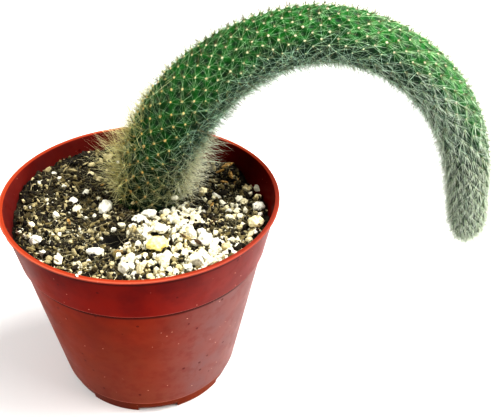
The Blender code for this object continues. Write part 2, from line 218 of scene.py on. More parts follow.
def unitBall(cuts):
    # Corners and triangles of a ball of radius 1: an icosahedron, cut finer each time
    bm = bmesh.new()
    bmesh.ops.create_icosphere(bm, subdivisions=cuts, radius=1)
    mesh = closeMesh("ball", bm)
    points = readCorners(mesh).astype(float)
    faces = np.empty(len(mesh.polygons) * 3, int)
    mesh.polygons.foreach_get("vertices", faces)
    bpy.data.meshes.remove(mesh)
    return points, faces.reshape(-1, 3)


def randomTurns(count, draw, tumble=1.0):
    # Rotation matrices of random quaternions; a tumble under 1 keeps them nearer upright
    w, x, y, z = unit(draw.normal(size=(count, 4)) * (1, tumble, tumble, 1)).T
    rows = (1 - 2 * (y * y + z * z), 2 * (x * y - w * z), 2 * (x * z + w * y),
            2 * (x * y + w * z), 1 - 2 * (x * x + z * z), 2 * (y * z - w * x),
            2 * (x * z - w * y), 2 * (y * z + w * x), 1 - 2 * (x * x + y * y))
    return np.stack(rows, axis=-1).reshape(count, 3, 3)


# The relief of a lump in radii: the cells of its folded noise, their middle value, the finer
# one's share, and how far from the middle its chipped sides lie
lumpRelief = {"coarse": 0.62, "fine": 0.27, "middle": 0.36, "fineShare": 0.4, "chips": (0.50, 0.85)}


def scatterLumps(name, places, sizes, form, draw, **marks):
    # Small uneven balls: each corner goes in or out by a random share and by folded noise,
    # what stands over a few random planes is chipped off, then the ball is stretched by its
    # sizes, turned and set down
    ball, triangles = unitBall(form["cuts"])
    count = len(places)
    shaped = ball * (1 + form["rough"] * draw.uniform(-1, 1, (count, len(ball), 1)))
    if form["lumps"]:
        spot = ball + draw.uniform(0, 30, (count, 1, 3))
        folded = foldedNoise(spot, lumpRelief["coarse"], 5, lumpRelief["middle"])
        finer = foldedNoise(spot, lumpRelief["fine"], 6, lumpRelief["middle"])
        folded = folded + lumpRelief["fineShare"] * finer
        shaped = shaped * (1 + form["lumps"] * folded[..., None])
    for _ in range(form["chips"]):
        normal = unit(draw.normal(size=(count, 1, 3)))
        limit = draw.uniform(*lumpRelief["chips"], (count, 1, 1))
        over = (shaped * normal).sum(axis=-1, keepdims=True) - limit
        shaped = shaped - np.maximum(over, 0) * normal
    shaped = shaped * sizes[:, None]
    turned = np.einsum("nij,nkj->nki", randomTurns(count, draw, form["tumble"]), shaped)
    points = (turned + places[:, None]).reshape(-1, 3)
    spread = {label: np.repeat(values, len(ball)) for label, values in marks.items()}
    return fillMesh(name, points, repeatFaces(triangles, count, len(ball)), form["smooth"], **spread)


def growHairs(name, hairs, segments):
    # Three-sided needles: the middle line is root + t length way + t^2 length bend, and the
    # half width falls to half its value, then to a point in the last segment
    roots, ways, bends, lengths, widths, kinds, warmths = (
        hairs[key] for key in ("root", "way", "bend", "length", "width", "kind", "warm"))
    count = len(roots)
    t = (np.arange(segments) / segments)[None, :, None]
    reach = lengths[:, None, None]
    line = roots[:, None] + reach * (t * ways[:, None] + t * t * bends[:, None])
    helper = np.where(np.abs(ways[:, 2:]) < 0.8, (0.0, 0.0, 1.0), (1.0, 0.0, 0.0))
    side = unit(np.cross(ways, helper))
    other = np.cross(ways, side)
    turn = math.tau * np.arange(3) / 3 + kinds[:, None] * math.tau
    ring = np.cos(turn)[..., None] * side[:, None] + np.sin(turn)[..., None] * other[:, None]
    half = (widths[:, None] * (1 - 0.5 * t[..., 0]))[..., None, None]
    body = (line[:, :, None] + half * ring[:, None]).reshape(count, -1, 3)
    tip = (roots + lengths[:, None] * (ways + bends))[:, None]
    points = np.concatenate((body, tip), axis=1)
    corners = points.shape[1]
    here = np.arange(3)
    beside = (here + 1) % 3
    rows = 3 * np.arange(segments - 1)[:, None]
    lower = np.stack((rows + here, rows + beside, rows + beside + 3), axis=-1).reshape(-1, 3)
    upper = np.stack((rows + here, rows + beside + 3, rows + here + 3), axis=-1).reshape(-1, 3)
    last = 3 * (segments - 1)
    end = np.stack((last + here, last + beside, np.full(3, 3 * segments)), axis=-1)
    one = np.concatenate((np.array([[0, 2, 1]]), lower, upper, end))
    along = np.append(np.repeat(np.arange(segments) / segments, 3), 1.0)
    return fillMesh(name, points.reshape(-1, 3), repeatFaces(one, count, corners),
                    along=np.tile(along, count), kind=np.repeat(kinds, corners),
                    warm=np.repeat(warmths, corners))


# Shader nodes

def feed(node, inputs):
    # Each input gets a number, a colour of three shares, or the socket that feeds it
    for key, value in inputs.items():
        socket = node.inputs[key]
        if isinstance(value, bpy.types.NodeSocket):
            node.id_data.links.new(value, socket)
        else:
            socket.default_value = (*value, 1.0) if socket.type == "RGBA" else value


def addNode(tree, kind, inputs=None, **settings):
    # One node with its settings and its inputs
    node = tree.nodes.new(kind)
    for key, value in settings.items():
        setattr(node, key, value)
    feed(node, inputs or {})
    return node


def mixColours(tree, share, first, second, blend="MIX"):
    # The first colour at share 0, the second or the blend of both at share 1
    inputs = {0: share, 6: first, 7: second}
    return addNode(tree, "ShaderNodeMix", inputs, data_type="RGBA", blend_type=blend).outputs[2]


def colourRamp(tree, value, *stops):
    # A ramp through (place, colour) stops
    node = addNode(tree, "ShaderNodeValToRGB", {"Fac": value})
    elements = node.color_ramp.elements
    while len(elements) < len(stops):
        elements.new(0.5)
    for element, (place, colour) in zip(elements, stops):
        element.position = place
        element.color = (*colour, 1.0)
    return node.outputs["Color"]


def remap(tree, value, low, high, toLow=0.0, toHigh=1.0):
    # The smooth step of a value from low to high, from toLow to toHigh
    inputs = {"Value": value, "From Min": low, "From Max": high, "To Min": toLow, "To Max": toHigh}
    return addNode(tree, "ShaderNodeMapRange", inputs, interpolation_type="SMOOTHSTEP").outputs[0]


def calculate(tree, operation, first, second):
    # One step of arithmetic on two numbers
    return addNode(tree, "ShaderNodeMath", {0: first, 1: second}, operation=operation).outputs[0]


def readMark(tree, label):
    # The number that the mesh carries under this label
    return addNode(tree, "ShaderNodeAttribute", attribute_name=label).outputs["Fac"]


def layCoats(tree, colour, coats, **masks):
    # Paints laid over a colour in their order, each by its share times its mask, which is
    # the mark of its name where no mask is given
    for name, (share, paint) in coats.items():
        mask = masks[name] if name in masks else readMark(tree, name)
        if share < 1:
            mask = calculate(tree, "MULTIPLY", mask, share)
        colour = mixColours(tree, mask, colour, paint)
    return colour


def layerNoise(tree, scale, detail, roughness=0.5):
    # Layered noise in the object's own place
    place = addNode(tree, "ShaderNodeTexCoord").outputs["Object"]
    inputs = {"Vector": place, "Scale": scale, "Detail": detail, "Roughness": roughness}
    return addNode(tree, "ShaderNodeTexNoise", inputs).outputs["Fac"]


def newGroup(name, inputs, *outputs):
    # A node group whose sockets are named: its inputs are colours or numbers as their
    # starting values are, its outputs a colour or numbers as their names say
    tree = bpy.data.node_groups.new(name, "ShaderNodeTree")
    for label, value in inputs.items():
        kind = "NodeSocketColor" if isinstance(value, tuple) else "NodeSocketFloat"
        socket = tree.interface.new_socket(label, in_out="INPUT", socket_type=kind)
        socket.default_value = (*value, 1.0) if isinstance(value, tuple) else value
    for label in outputs:
        kind = "NodeSocketColor" if label == "Colour" else "NodeSocketFloat"
        tree.interface.new_socket(label, in_out="OUTPUT", socket_type=kind)
    return tree, tree.nodes.new("NodeGroupInput").outputs, tree.nodes.new("NodeGroupOutput").inputs


def placeGroup(tree, group, **inputs):
    # The outputs of a group placed in a material, with its inputs by their names
    named = {key[0].upper() + key[1:]: value for key, value in inputs.items()}
    return addNode(tree, "ShaderNodeGroup", named, node_tree=group).outputs


def startMaterial(name):
    # A new material, its node tree and its main shader
    material = bpy.data.materials.new(name)
    material.use_nodes = True
    return material, material.node_tree, material.node_tree.nodes["Principled BSDF"]


def finishSurface(shader, colour, roughness, relief=None):
    # Colour and roughness, and a relief by its height, strength and distance
    feed(shader, {"Base Color": colour, "Roughness": roughness})
    if relief:
        inputs = dict(zip(("Height", "Strength", "Distance"), relief))
        bump = addNode(shader.id_data, "ShaderNodeBump", inputs)
        feed(shader, {"Normal": bump.outputs["Normal"]})


def makeMottle():
    # Two colours mixed by a layered noise, and the noise itself
    inputs = {"Dark": (0, 0, 0), "Light": (1, 1, 1), "Scale": 100.0, "Low": 0.35, "High": 0.65}
    tree, given, result = newGroup("mottle", inputs, "Colour", "Mask")
    noise = layerNoise(tree, given["Scale"], 4.0, 0.6)
    mask = remap(tree, noise, given["Low"], given["High"])
    tree.links.new(mixColours(tree, mask, given["Dark"], given["Light"]), result["Colour"])
    tree.links.new(mask, result["Mask"])
    return tree


def makeSpecks():
    # Small round specks: the inside of some cells of a cell pattern
    tree, given, result = newGroup("specks", {"Scale": 1000.0, "Size": 0.3, "Cover": 0.2}, "Mask")
    place = addNode(tree, "ShaderNodeTexCoord").outputs["Object"]
    cells = addNode(tree, "ShaderNodeTexVoronoi", {"Vector": place, "Scale": given["Scale"]})
    chance = addNode(tree, "ShaderNodeSeparateColor", {"Color": cells.outputs["Color"]}).outputs[0]
    chosen = calculate(tree, "LESS_THAN", chance, given["Cover"])
    inside = calculate(tree, "LESS_THAN", cells.outputs["Distance"], given["Size"])
    tree.links.new(calculate(tree, "MULTIPLY", chosen, inside), result["Mask"])
    return tree


def makeStrandColour():
    # A hair's colour: from its root to its tip, cool or warm, lighter or darker hair by hair
    inputs = {"Root": (0.5, 0.5, 0.4), "Tip": (0.8, 0.8, 0.7), "WarmRoot": (0.4, 0.3, 0.1),
              "WarmTip": (0.7, 0.6, 0.4), "Spread": 0.3}
    tree, given, result = newGroup("strandColour", inputs, "Colour")
    along = readMark(tree, "along")
    cool = mixColours(tree, along, given["Root"], given["Tip"])
    warm = mixColours(tree, along, given["WarmRoot"], given["WarmTip"])
    tone = mixColours(tree, readMark(tree, "warm"), cool, warm)
    shade = calculate(tree, "MULTIPLY", readMark(tree, "kind"), given["Spread"])
    tree.links.new(mixColours(tree, shade, tone, (0.04, 0.05, 0.03)), result["Colour"])
    return tree


def makeStrandMaterial(name, paint, roughness, specular=0.5):
    # Hairs whose colour runs from root to tip, cool or warm hair by hair
    material, tree, shader = startMaterial(name)
    inputs = dict(zip(("root", "tip", "warmRoot", "warmTip", "spread"), paint))
    feed(shader, {"Specular IOR Level": specular})
    finishSurface(shader, placeGroup(tree, strandColour, **inputs)["Colour"], roughness)
    return material


mottle = makeMottle()
specks = makeSpecks()
strandColour = makeStrandColour()


# Pot

pot = {
    "height": 0.0870, "rimRadius": 0.0550, "lipWidth": 0.0019, "lipThickness": 0.0009,
    "lipOverhang": 0.0010, "bandDepth": 0.0208, "bandFootRadius": 0.0500, "bandStep": 0.0008,
    "wall": 0.0011, "footHeight": 0.0065, "bodyFootRadius": 0.0378, "footTopRadius": 0.0368,
    "footRadius": 0.0357, "ringWidth": 0.0018, "floorUnderside": 0.0030, "floorThickness": 0.0014,
    "padRadius": 0.0090, "drains": 6, "drainRadius": 0.0040, "drainCircle": 0.0225,
    "notches": 6, "notchWidth": 0.0166, "notchHeight": 0.0022, "notchEdge": 0.0008,
    "notchBearing": math.radians(-79), "sides": 160, "edgeRound": 0.00035,
    "nickBearing": math.radians(213), "nickDepth": 0.0005, "nickReach": 0.0009,
    "nickIn": 0.0008, "nickDown": 0.002,
    # Short slopes in the outline: under the groove, at the band's foot, under the lip, and
    # above and below the step inside
    "grooveSlope": 0.0007, "bandSlope": 0.0003, "lipSlope": 0.0001,
    "stepSlope": 0.0006, "underStepSlope": 0.0004,
}
potFinish = {
    "colour": (0.108, 0.0011, 0.0003), "lightColour": (0.170, 0.0062, 0.0010),
    # Worn edges with a painted highlight on them, at the lip, the band and the body's foot: reach and share
    "wornHighlitEdges": ((0.0005, 1.0), (0.0005, 0.9), (0.0006, 0.5)),
    # Painted shade in the corners under the band and under the lip: distance below and reach,
    # and the painted shade on the foot ring
    "corners": ((0.0010, 0.0006), (0.0011, 0.0008)), "footRingShade": 0.18,
    # How far under the groove the foot ring starts, under the top the lip, and off the inner
    # wall the outside
    "footRingGap": 0.0005, "topGap": 0.0001, "wallGap": 0.0003,
    # The side with the painted sheen: its bearing, the turns between which it ends, and how much
    # the painted edge highlights and the lip's painted light fade there
    "sheenBearing": math.radians(-20), "sheenSpread": (math.radians(24), math.radians(66)),
    "highlightFade": 0.6, "lipLightFade": 0.55,
    # A lighter brown tint: all over the body, more of it low down, and how much one side has over the other
    "film": (0.45, 0.55), "filmBearing": -1.05, "filmSide": 0.25,
    "filmLeft": 0.45, "filmLeftEdge": (0.35, 0.95),
    # Painted sheen, a pale mauve reflection: on that side of the band and of the body, low on the
    # body, and painted light inside at the left
    "haze": (0.40, 0.60), "hazeLow": 0.36, "hazeInside": 0.30, "hazeInsideEdge": (-0.2, 0.8),
    # Each coat's share and colour, in the order in which they are laid. The pale sheen is a painted
    # reflection, the inside coat is painted shade, the lip coat is painted light on the lip's top,
    # the worn edges carry a painted highlight, and the crease coat is painted shade
    "coats": {
        "film": (1.0, (0.205, 0.039, 0.009)), "haze": (1.0, (0.150, 0.072, 0.068)),
        "stains": (0.24, (0.120, 0.006, 0.002)), "dust": (0.6, (0.62, 0.36, 0.28)),
        "grime": (0.7, (0.06, 0.003, 0.002)), "inside": (0.20, (0.050, 0.001, 0.0006)),
        "lip": (0.85, (0.32, 0.054, 0.022)), "wearAndHighlight": (0.5, (0.62, 0.20, 0.13)),
        "creaseShade": (0.9, (0.020, 0.001, 0.001))},
}


def bandRadius(z):
    # Outer radius of the rim band, on a straight line from its foot to the lip
    foot = pot["height"] - pot["bandDepth"]
    share = (z - foot) / (pot["bandDepth"] - pot["lipThickness"])
    return pot["bandFootRadius"] + share * (pot["rimRadius"] - pot["lipOverhang"] - pot["bandFootRadius"])


def bodyRadius(z):
    # Outer radius of the body, on a straight line from the foot to the band
    share = (z - pot["footHeight"]) / (pot["height"] - pot["bandDepth"] - pot["footHeight"])
    return pot["bodyFootRadius"] + share * (pot["bandFootRadius"] - pot["bandStep"] - pot["bodyFootRadius"])


def innerRadius(z):
    # The band's or the body's outer radius less the wall
    upper = z > pot["height"] - pot["bandDepth"] + pot["bandStep"]
    return np.where(upper, bandRadius(z), bodyRadius(z)) - pot["wall"]


def potOutline():
    # Radius and height round the cut wall, from under the floor, up the outside, over the
    # lip and down the inside
    bandFoot = pot["height"] - pot["bandDepth"]
    stepTop = bandFoot + pot["bandStep"]
    lipUnder = pot["height"] - pot["lipThickness"]
    floorTop = pot["floorUnderside"] + pot["floorThickness"]
    ringInside = pot["footRadius"] - pot["ringWidth"]
    return np.array((
        (0.0, 0.0),
        (pot["padRadius"], 0.0),
        (pot["padRadius"], pot["floorUnderside"]),
        (ringInside, pot["floorUnderside"]),
        (ringInside, 0.0),
        (pot["footRadius"], 0.0),
        (pot["footTopRadius"], pot["footHeight"] - pot["grooveSlope"]),
        (pot["bodyFootRadius"], pot["footHeight"]),
        (bodyRadius(bandFoot), bandFoot),
        (pot["bandFootRadius"], bandFoot + pot["bandSlope"]),
        (bandRadius(lipUnder), lipUnder),
        (pot["rimRadius"], lipUnder + pot["lipSlope"]),
        (pot["rimRadius"], pot["height"]),
        (pot["rimRadius"] - pot["lipWidth"], pot["height"]),
        (bandRadius(stepTop) - pot["wall"], stepTop + pot["stepSlope"]),
        (bodyRadius(bandFoot) - pot["wall"], bandFoot - pot["underStepSlope"]),
        (bodyRadius(floorTop) - pot["wall"], floorTop),
        (0.0, floorTop)))


def roundCorners(outline, reach, steps=4):
    # Each corner becomes a quadratic curve that starts and ends at most reach away on its
    # two sides, with guard points further out on either side to keep the flats flat
    corner = outline[1:-1]
    back = outline[:-2] - corner
    ahead = outline[2:] - corner
    backLength = np.linalg.norm(back, axis=1)[:, None]
    aheadLength = np.linalg.norm(ahead, axis=1)[:, None]

    def beside(times, share):
        return (corner + back / backLength * np.minimum(times * reach, share * backLength),
                corner + ahead / aheadLength * np.minimum(times * reach, share * aheadLength))

    start, end = beside(1.0, 0.40)
    guards = [beside(times, share) for times, share in ((6.0, 0.49), (3.0, 0.46), (1.6, 0.43))]
    t = np.linspace(0, 1, steps)[:, None, None]
    curve = (1 - t) ** 2 * start + 2 * t * (1 - t) * corner + t * t * end
    rings = [guard[0] for guard in guards] + list(curve) + [guard[1] for guard in reversed(guards)]
    rounded = np.stack(rings, axis=1).reshape(-1, 2)
    return np.concatenate((outline[:1], rounded, outline[-1:]))


def makePotMesh():
    # The wall's outline carried round the axis. The foot ring is lifted at its notches, and
    # the lip is pressed in at one small nick.
    profile = roundCorners(potOutline(), pot["edgeRound"])
    half = pot["notchWidth"] / 2 / pot["footRadius"]
    middles = pot["notchBearing"] + math.tau * np.arange(pot["notches"]) / pot["notches"]
    edges = (middles[:, None] + half * np.array((-1, 1))).ravel()
    fine = (edges[:, None] + pot["notchEdge"] * np.array((-1, 1))).ravel() % math.tau
    bearings = np.sort(np.concatenate((math.tau * np.arange(pot["sides"]) / pot["sides"], fine)))
    notched = np.abs(turnFrom(bearings[:, None], middles)).min(axis=1) < half
    radius = np.repeat(profile[1:-1, :1], len(bearings), axis=1)
    height = np.repeat(profile[1:-1, 1:], len(bearings), axis=1)
    onRing = radius > pot["footRadius"] - 1.5 * pot["ringWidth"]
    height = np.where(onRing & notched, np.maximum(height, pot["notchHeight"]), height)
    dent = bell(turnFrom(bearings, pot["nickBearing"]) * pot["rimRadius"], pot["nickReach"])
    outerLip = (radius > pot["rimRadius"] - pot["nickIn"]) & (height > pot["height"] - pot["nickDown"])
    radius = radius - np.where(outerLip, pot["nickDepth"] * dent, 0)
    ring = triples(radius * np.cos(bearings), radius * np.sin(bearings), height)
    ends = [(0, 0, profile[0, 1]), (0, 0, profile[-1, 1])]
    marks = {label: np.append(values.ravel(), (0, 0))
             for label, values in potMarks(radius, height, bearings).items()}
    return fillMesh("nurseryPot", np.concatenate((ring.reshape(-1, 3), ends)),
                    tubeFaces(*radius.shape), **marks)


def potMarks(radius, height, bearings):
    # Worn edges with their painted highlight, and painted shade in the corners, are bells of the
    # distance to them; the sheen side is a smooth step of the turn from its bearing, and the brown
    # tint and the painted sheen add up their shares
    foot = pot["height"] - pot["bandDepth"]
    edges = ((pot["rimRadius"], pot["height"]), (pot["bandFootRadius"], foot),
             (pot["bodyFootRadius"], pot["footHeight"]))
    wearAndHighlight = sum(share * bell(np.hypot(radius - edge[0], height - edge[1]), reach)
               for edge, (reach, share) in zip(edges, potFinish["wornHighlitEdges"]))
    corners = ((bodyRadius(height), foot), (bandRadius(height), pot["height"] - pot["lipThickness"]))
    creaseShade = sum(bell(np.hypot(radius - corner[0], height - corner[1] + below), reach)
                 for corner, (below, reach) in zip(corners, potFinish["corners"]))
    onFootRing = height < pot["footHeight"] - potFinish["footRingGap"]
    creaseShade = np.maximum(creaseShade, np.where(onFootRing, potFinish["footRingShade"], 0))
    onTop = height > pot["height"] - potFinish["topGap"]
    # Inside the wall, where the inside coat lays painted shade
    inside = (radius < innerRadius(height) + potFinish["wallGap"]) & ~onTop
    aside = np.abs(turnFrom(bearings, potFinish["sheenBearing"]))
    sheenSide = 1 - smoothStep(aside, *potFinish["sheenSpread"])
    onBody = smoothStep(foot - height, 0.0, 0.001)
    low = 1 - height / foot
    leftward = -np.cos(bearings)
    allOver, more = potFinish["film"]
    side = potFinish["filmSide"]
    film = onBody * (allOver + more * low) * (1 - side + side * np.cos(bearings - potFinish["filmBearing"]))
    left = potFinish["filmLeft"] * smoothStep(leftward, *potFinish["filmLeftEdge"])
    film = np.maximum(film, left * ~inside)
    onBand, more = potFinish["haze"]
    haze = np.clip((onBand + more * onBody) * sheenSide + potFinish["hazeLow"] * onBody * low ** 2, 0, 1)
    # Painted light on the inner wall at the left, in the sheen's colour
    left = potFinish["hazeInside"] * smoothStep(leftward, *potFinish["hazeInsideEdge"])
    # On the sheen side the edge highlights and the lip's painted light fade, painted as if in shade
    return {"wearAndHighlight": wearAndHighlight * (1 - potFinish["highlightFade"] * sheenSide), "creaseShade": creaseShade,
            "lip": onTop * (1 - potFinish["lipLightFade"] * sheenSide), "inside": inside, "film": film,
            "haze": np.where(inside, left, haze)}


def cutDrains(mesh):
    # The floor's drain holes, cut by a ring of round pegs
    bm = bmesh.new()
    for index in range(pot["drains"]):
        bearing = pot["notchBearing"] + math.tau * (index + 0.5) / pot["drains"]
        place = Vector((pot["drainCircle"] * math.cos(bearing), pot["drainCircle"] * math.sin(bearing),
                        pot["floorUnderside"] + pot["floorThickness"] / 2))
        bmesh.ops.create_cone(bm, cap_ends=True, segments=32, radius1=pot["drainRadius"],
                              radius2=pot["drainRadius"], depth=3 * pot["floorThickness"],
                              matrix=Matrix.Translation(place))
    pegs = addObject("drainPegs", closeMesh("drainPegs", bm))
    drained = modifiedMesh(mesh, "BOOLEAN", operation="DIFFERENCE", solver="EXACT", object=pegs)
    bpy.data.objects.remove(pegs)
    return drained


def makePotMaterial():
    # Brick-red moulded plastic: cloudy colour under a lighter brown tint and a painted sheen, both
    # patchy, with stains, dust, grime, painted shade inside, worn edges with a painted highlight,
    # painted light on the lip's top and painted shade in the corners
    material, tree, shader = startMaterial("brickPlastic")
    clouds = placeGroup(tree, mottle, dark=potFinish["colour"], light=potFinish["lightColour"],
                        scale=55.0, low=0.36, high=0.66)
    patches = placeGroup(tree, mottle, scale=90.0, low=0.25, high=0.75)["Mask"]
    patchy = remap(tree, patches, 0.0, 1.0, 0.74, 1.0)
    dust = placeGroup(tree, specks, scale=520.0, size=0.13, cover=0.10)["Mask"]
    colour = layCoats(
        tree, clouds["Colour"], potFinish["coats"],
        film=calculate(tree, "MULTIPLY", readMark(tree, "film"), patchy),
        haze=calculate(tree, "MULTIPLY", readMark(tree, "haze"), patchy),
        stains=placeGroup(tree, mottle, scale=210.0, low=0.46, high=0.66)["Mask"], dust=dust,
        grime=placeGroup(tree, specks, scale=330.0, size=0.20, cover=0.14)["Mask"])
    gloss = remap(tree, patches, 0.0, 1.0, 0.30, 0.42)
    roughness = calculate(tree, "ADD", gloss, calculate(tree, "MULTIPLY", dust, 0.4))
    feed(shader, {"Specular IOR Level": 0.05, "Specular Tint": (1.0, 0.45, 0.42)})
    finishSurface(shader, colour, roughness, (layerNoise(tree, 240.0, 2.0), 0.10, 0.0003))
    return material


addPiece("nurseryPot", cutDrains(makePotMesh()), makePotMaterial(), "pot", "pot")
print("pot done")


# Soil

soil = {
    "level": 0.0765, "rise": 0.050, "lumps": 34, "seed": 11, "reach": 0.046,
    "lumpRadius": (0.0040, 0.0075), "lumpHeight": (-0.0012, 0.0017),
    # A hollow and a heap of bark at the back right: place, radius and depth
    "hollows": (((0.0330, 0.0200), 0.0130, 0.0042), ((0.0325, 0.0330), 0.0085, -0.0062)),
    # The open pit at the drift's left end: place and radius
    "pit": (-0.0082, -0.0190, 0.0045), "pitDepth": 0.0055,
    # The bank along the wall at the back left: its height, its bearing, the cosines where it
    # starts and is full, and the radii between which it rises
    "bank": 0.0056, "bankBearing": math.radians(141), "bankTurn": (0.66, 0.97),
    "bankReach": (0.030, 0.049),
    # The lumps fade out towards the drift and the stem, and a low bed lies under the drift
    "calmDrift": (0.005, 0.011), "calmStem": (0.0035, 0.0085), "bed": 0.0012,
    "bedEdge": (-0.002, 0.004),
    "cells": 226, "wallGap": 0.00005, "lowerGap": 0.0003, "overStep": 0.0016,
    "underStep": 0.0006, "holeEdge": (0.0004, 0.0016),
    "relief": ((0.0034, 0.00085), (0.0017, 0.00065), (0.0009, 0.00035)),
    # Painted shade where the soil lies low: how far over the plane it starts to darken, and the
    # depth to its darkest
    "shadeTop": 0.0004, "shadeDepth": 0.0022,
    # The low coat is that painted shade
    "coats": {"fibres": (1.0, (0.18, 0.15, 0.07)), "low": (0.9, (0.003, 0.002, 0.001))},
}
stem = {
    "foot": (0.0012, 0.0155), "heading": math.radians(8),
    "route": ((0.0003, 0.0600, 0.0136), (0.0003, 0.0775, 0.0141), (0.0052, 0.0980, 0.0144),
              (0.0180, 0.1205, 0.0140), (0.0395, 0.1380, 0.0124), (0.0660, 0.1453, 0.0111),
              (0.0925, 0.1395, 0.0107), (0.1165, 0.1225, 0.0105), (0.1325, 0.0985, 0.0102),
              (0.1408, 0.0690, 0.0088), (0.1450, 0.0445, 0.0078)),
    # Row spacing at shares of the length
    "spacing": ((0.0, 0.0034), (0.22, 0.0032), (0.32, 0.0027), (0.46, 0.0030), (0.58, 0.0044),
                (0.76, 0.0046), (0.88, 0.0032), (1.0, 0.0025)),
    "columns": 28, "tipLength": 0.0120, "tipRows": 6, "buriedLength": 0.0170, "buriedRows": 3,
    "uprightEnd": 0.0042, "tubercle": 0.0013, "tubercleShare": 0.13, "cuts": 5,
    "skinNoise": (0.00009, 0.0016), "underside": 0.30, "undersideFade": (0.26, 0.44),
    # The under coat is painted shade on the underside of the arch, the valley coat painted shade between the
    # tubercles
    "coats": {"under": (0.88, (0.004, 0.016, 0.010)), "valley": (1.0, (0.003, 0.022, 0.006)),
              "crown": (1.0, (0.05, 0.30, 0.04))},
}
drift = {
    "centre": (0.0165, -0.0205), "radius": 0.0215,
    # Each wave of the outline: how often round, height and bearing
    "waves": ((2, 0.11, math.radians(65)), (1, 0.08, math.radians(240))),
    "edgeHeight": 0.0004, "heapHeight": 0.0022,
}


def driftReach(bearing):
    # Outline of the drift: a circle with two cosine waves, longest at the front left
    (often, height, crest), (once, lower, lowerCrest) = drift["waves"]
    return drift["radius"] * (1 + height * np.cos(often * (bearing - crest))
                              + lower * np.cos(once * (bearing - lowerCrest)))


def offDrift(x, y):
    # How far a place lies outside the drift's outline; negative inside
    dx = x - drift["centre"][0]
    dy = y - drift["centre"][1]
    return np.hypot(dx, dy) - driftReach(np.arctan2(dy, dx))


def offStem(x, y):
    # How far a place lies outside the stem's foot
    return np.hypot(x - stem["foot"][0], y - stem["foot"][1]) - stem["route"][1][2]


def soilPlane(y):
    # The soil's general height, on a plane that rises to the front
    return soil["level"] - soil["rise"] * y


def soilLumps():
    # Place, radius and height of each lump: the hollows, then lumps at random
    draw = random.Random(soil["seed"])
    lumps = [(place, radius, -depth) for place, radius, depth in soil["hollows"]]
    for _ in range(soil["lumps"]):
        distance = soil["reach"] * math.sqrt(draw.random())
        bearing = draw.uniform(0, math.tau)
        place = (distance * math.cos(bearing), distance * math.sin(bearing))
        lumps.append((place, draw.uniform(*soil["lumpRadius"]), draw.uniform(*soil["lumpHeight"])))
    return lumps


def soilBank(x, y):
    # A ramp that starts well inside the wall and fades out to both sides of its bearing
    turn = np.cos(np.arctan2(y, x) - soil["bankBearing"])
    across = smoothStep(np.hypot(x, y), *soil["bankReach"])
    return soil["bank"] * smoothStep(turn, *soil["bankTurn"]) * across


def soilPit(x, y):
    # A flat-bottomed dip: the bell of the fourth power of the distance
    pitX, pitY, radius = soil["pit"]
    return soil["pitDepth"] * bell(np.hypot(x - pitX, y - pitY), radius, 4)


def soilHeight(x, y):
    # The plane, plus round lumps and hollows where the soil isn't calm, the bank, a bed
    # under the drift and three layers of noise for the crumbs, less the pit
    height = np.zeros_like(x)
    for (cx, cy), radius, rise in soilLumps():
        height += rise * np.exp(-((x - cx) ** 2 + (y - cy) ** 2) / radius ** 2)
    calm = smoothStep(offDrift(x, y), *soil["calmDrift"]) * smoothStep(offStem(x, y), *soil["calmStem"])
    pit = soilPit(x, y)
    bed = soil["bed"] * smoothStep(-offDrift(x, y), *soil["bedEdge"]) * (1 - pit / soil["pitDepth"])
    crumbs = sum(rise * smoothNoise(triples(x, y), cell, seed)
                 for seed, (cell, rise) in enumerate(soil["relief"]))
    return soilPlane(y) + calm * height + soilBank(x, y) + bed + crumbs - pit


def heapHeight(x, y):
    # Height of the drift's middle layer over the soil's plane: 1 less the cube of the share
    # of the way out
    share = np.clip(1 + offDrift(x, y) / drift["radius"], 0, 1)
    return drift["edgeHeight"] + drift["heapHeight"] * (1 - share ** 3)


def restHeight(x, y):
    # What a grain lies on: the higher of the drift's middle layer and the soil
    heap = soilPlane(y) + heapHeight(x, y) - soilPit(x, y)
    return np.maximum(heap, soilHeight(x, y))


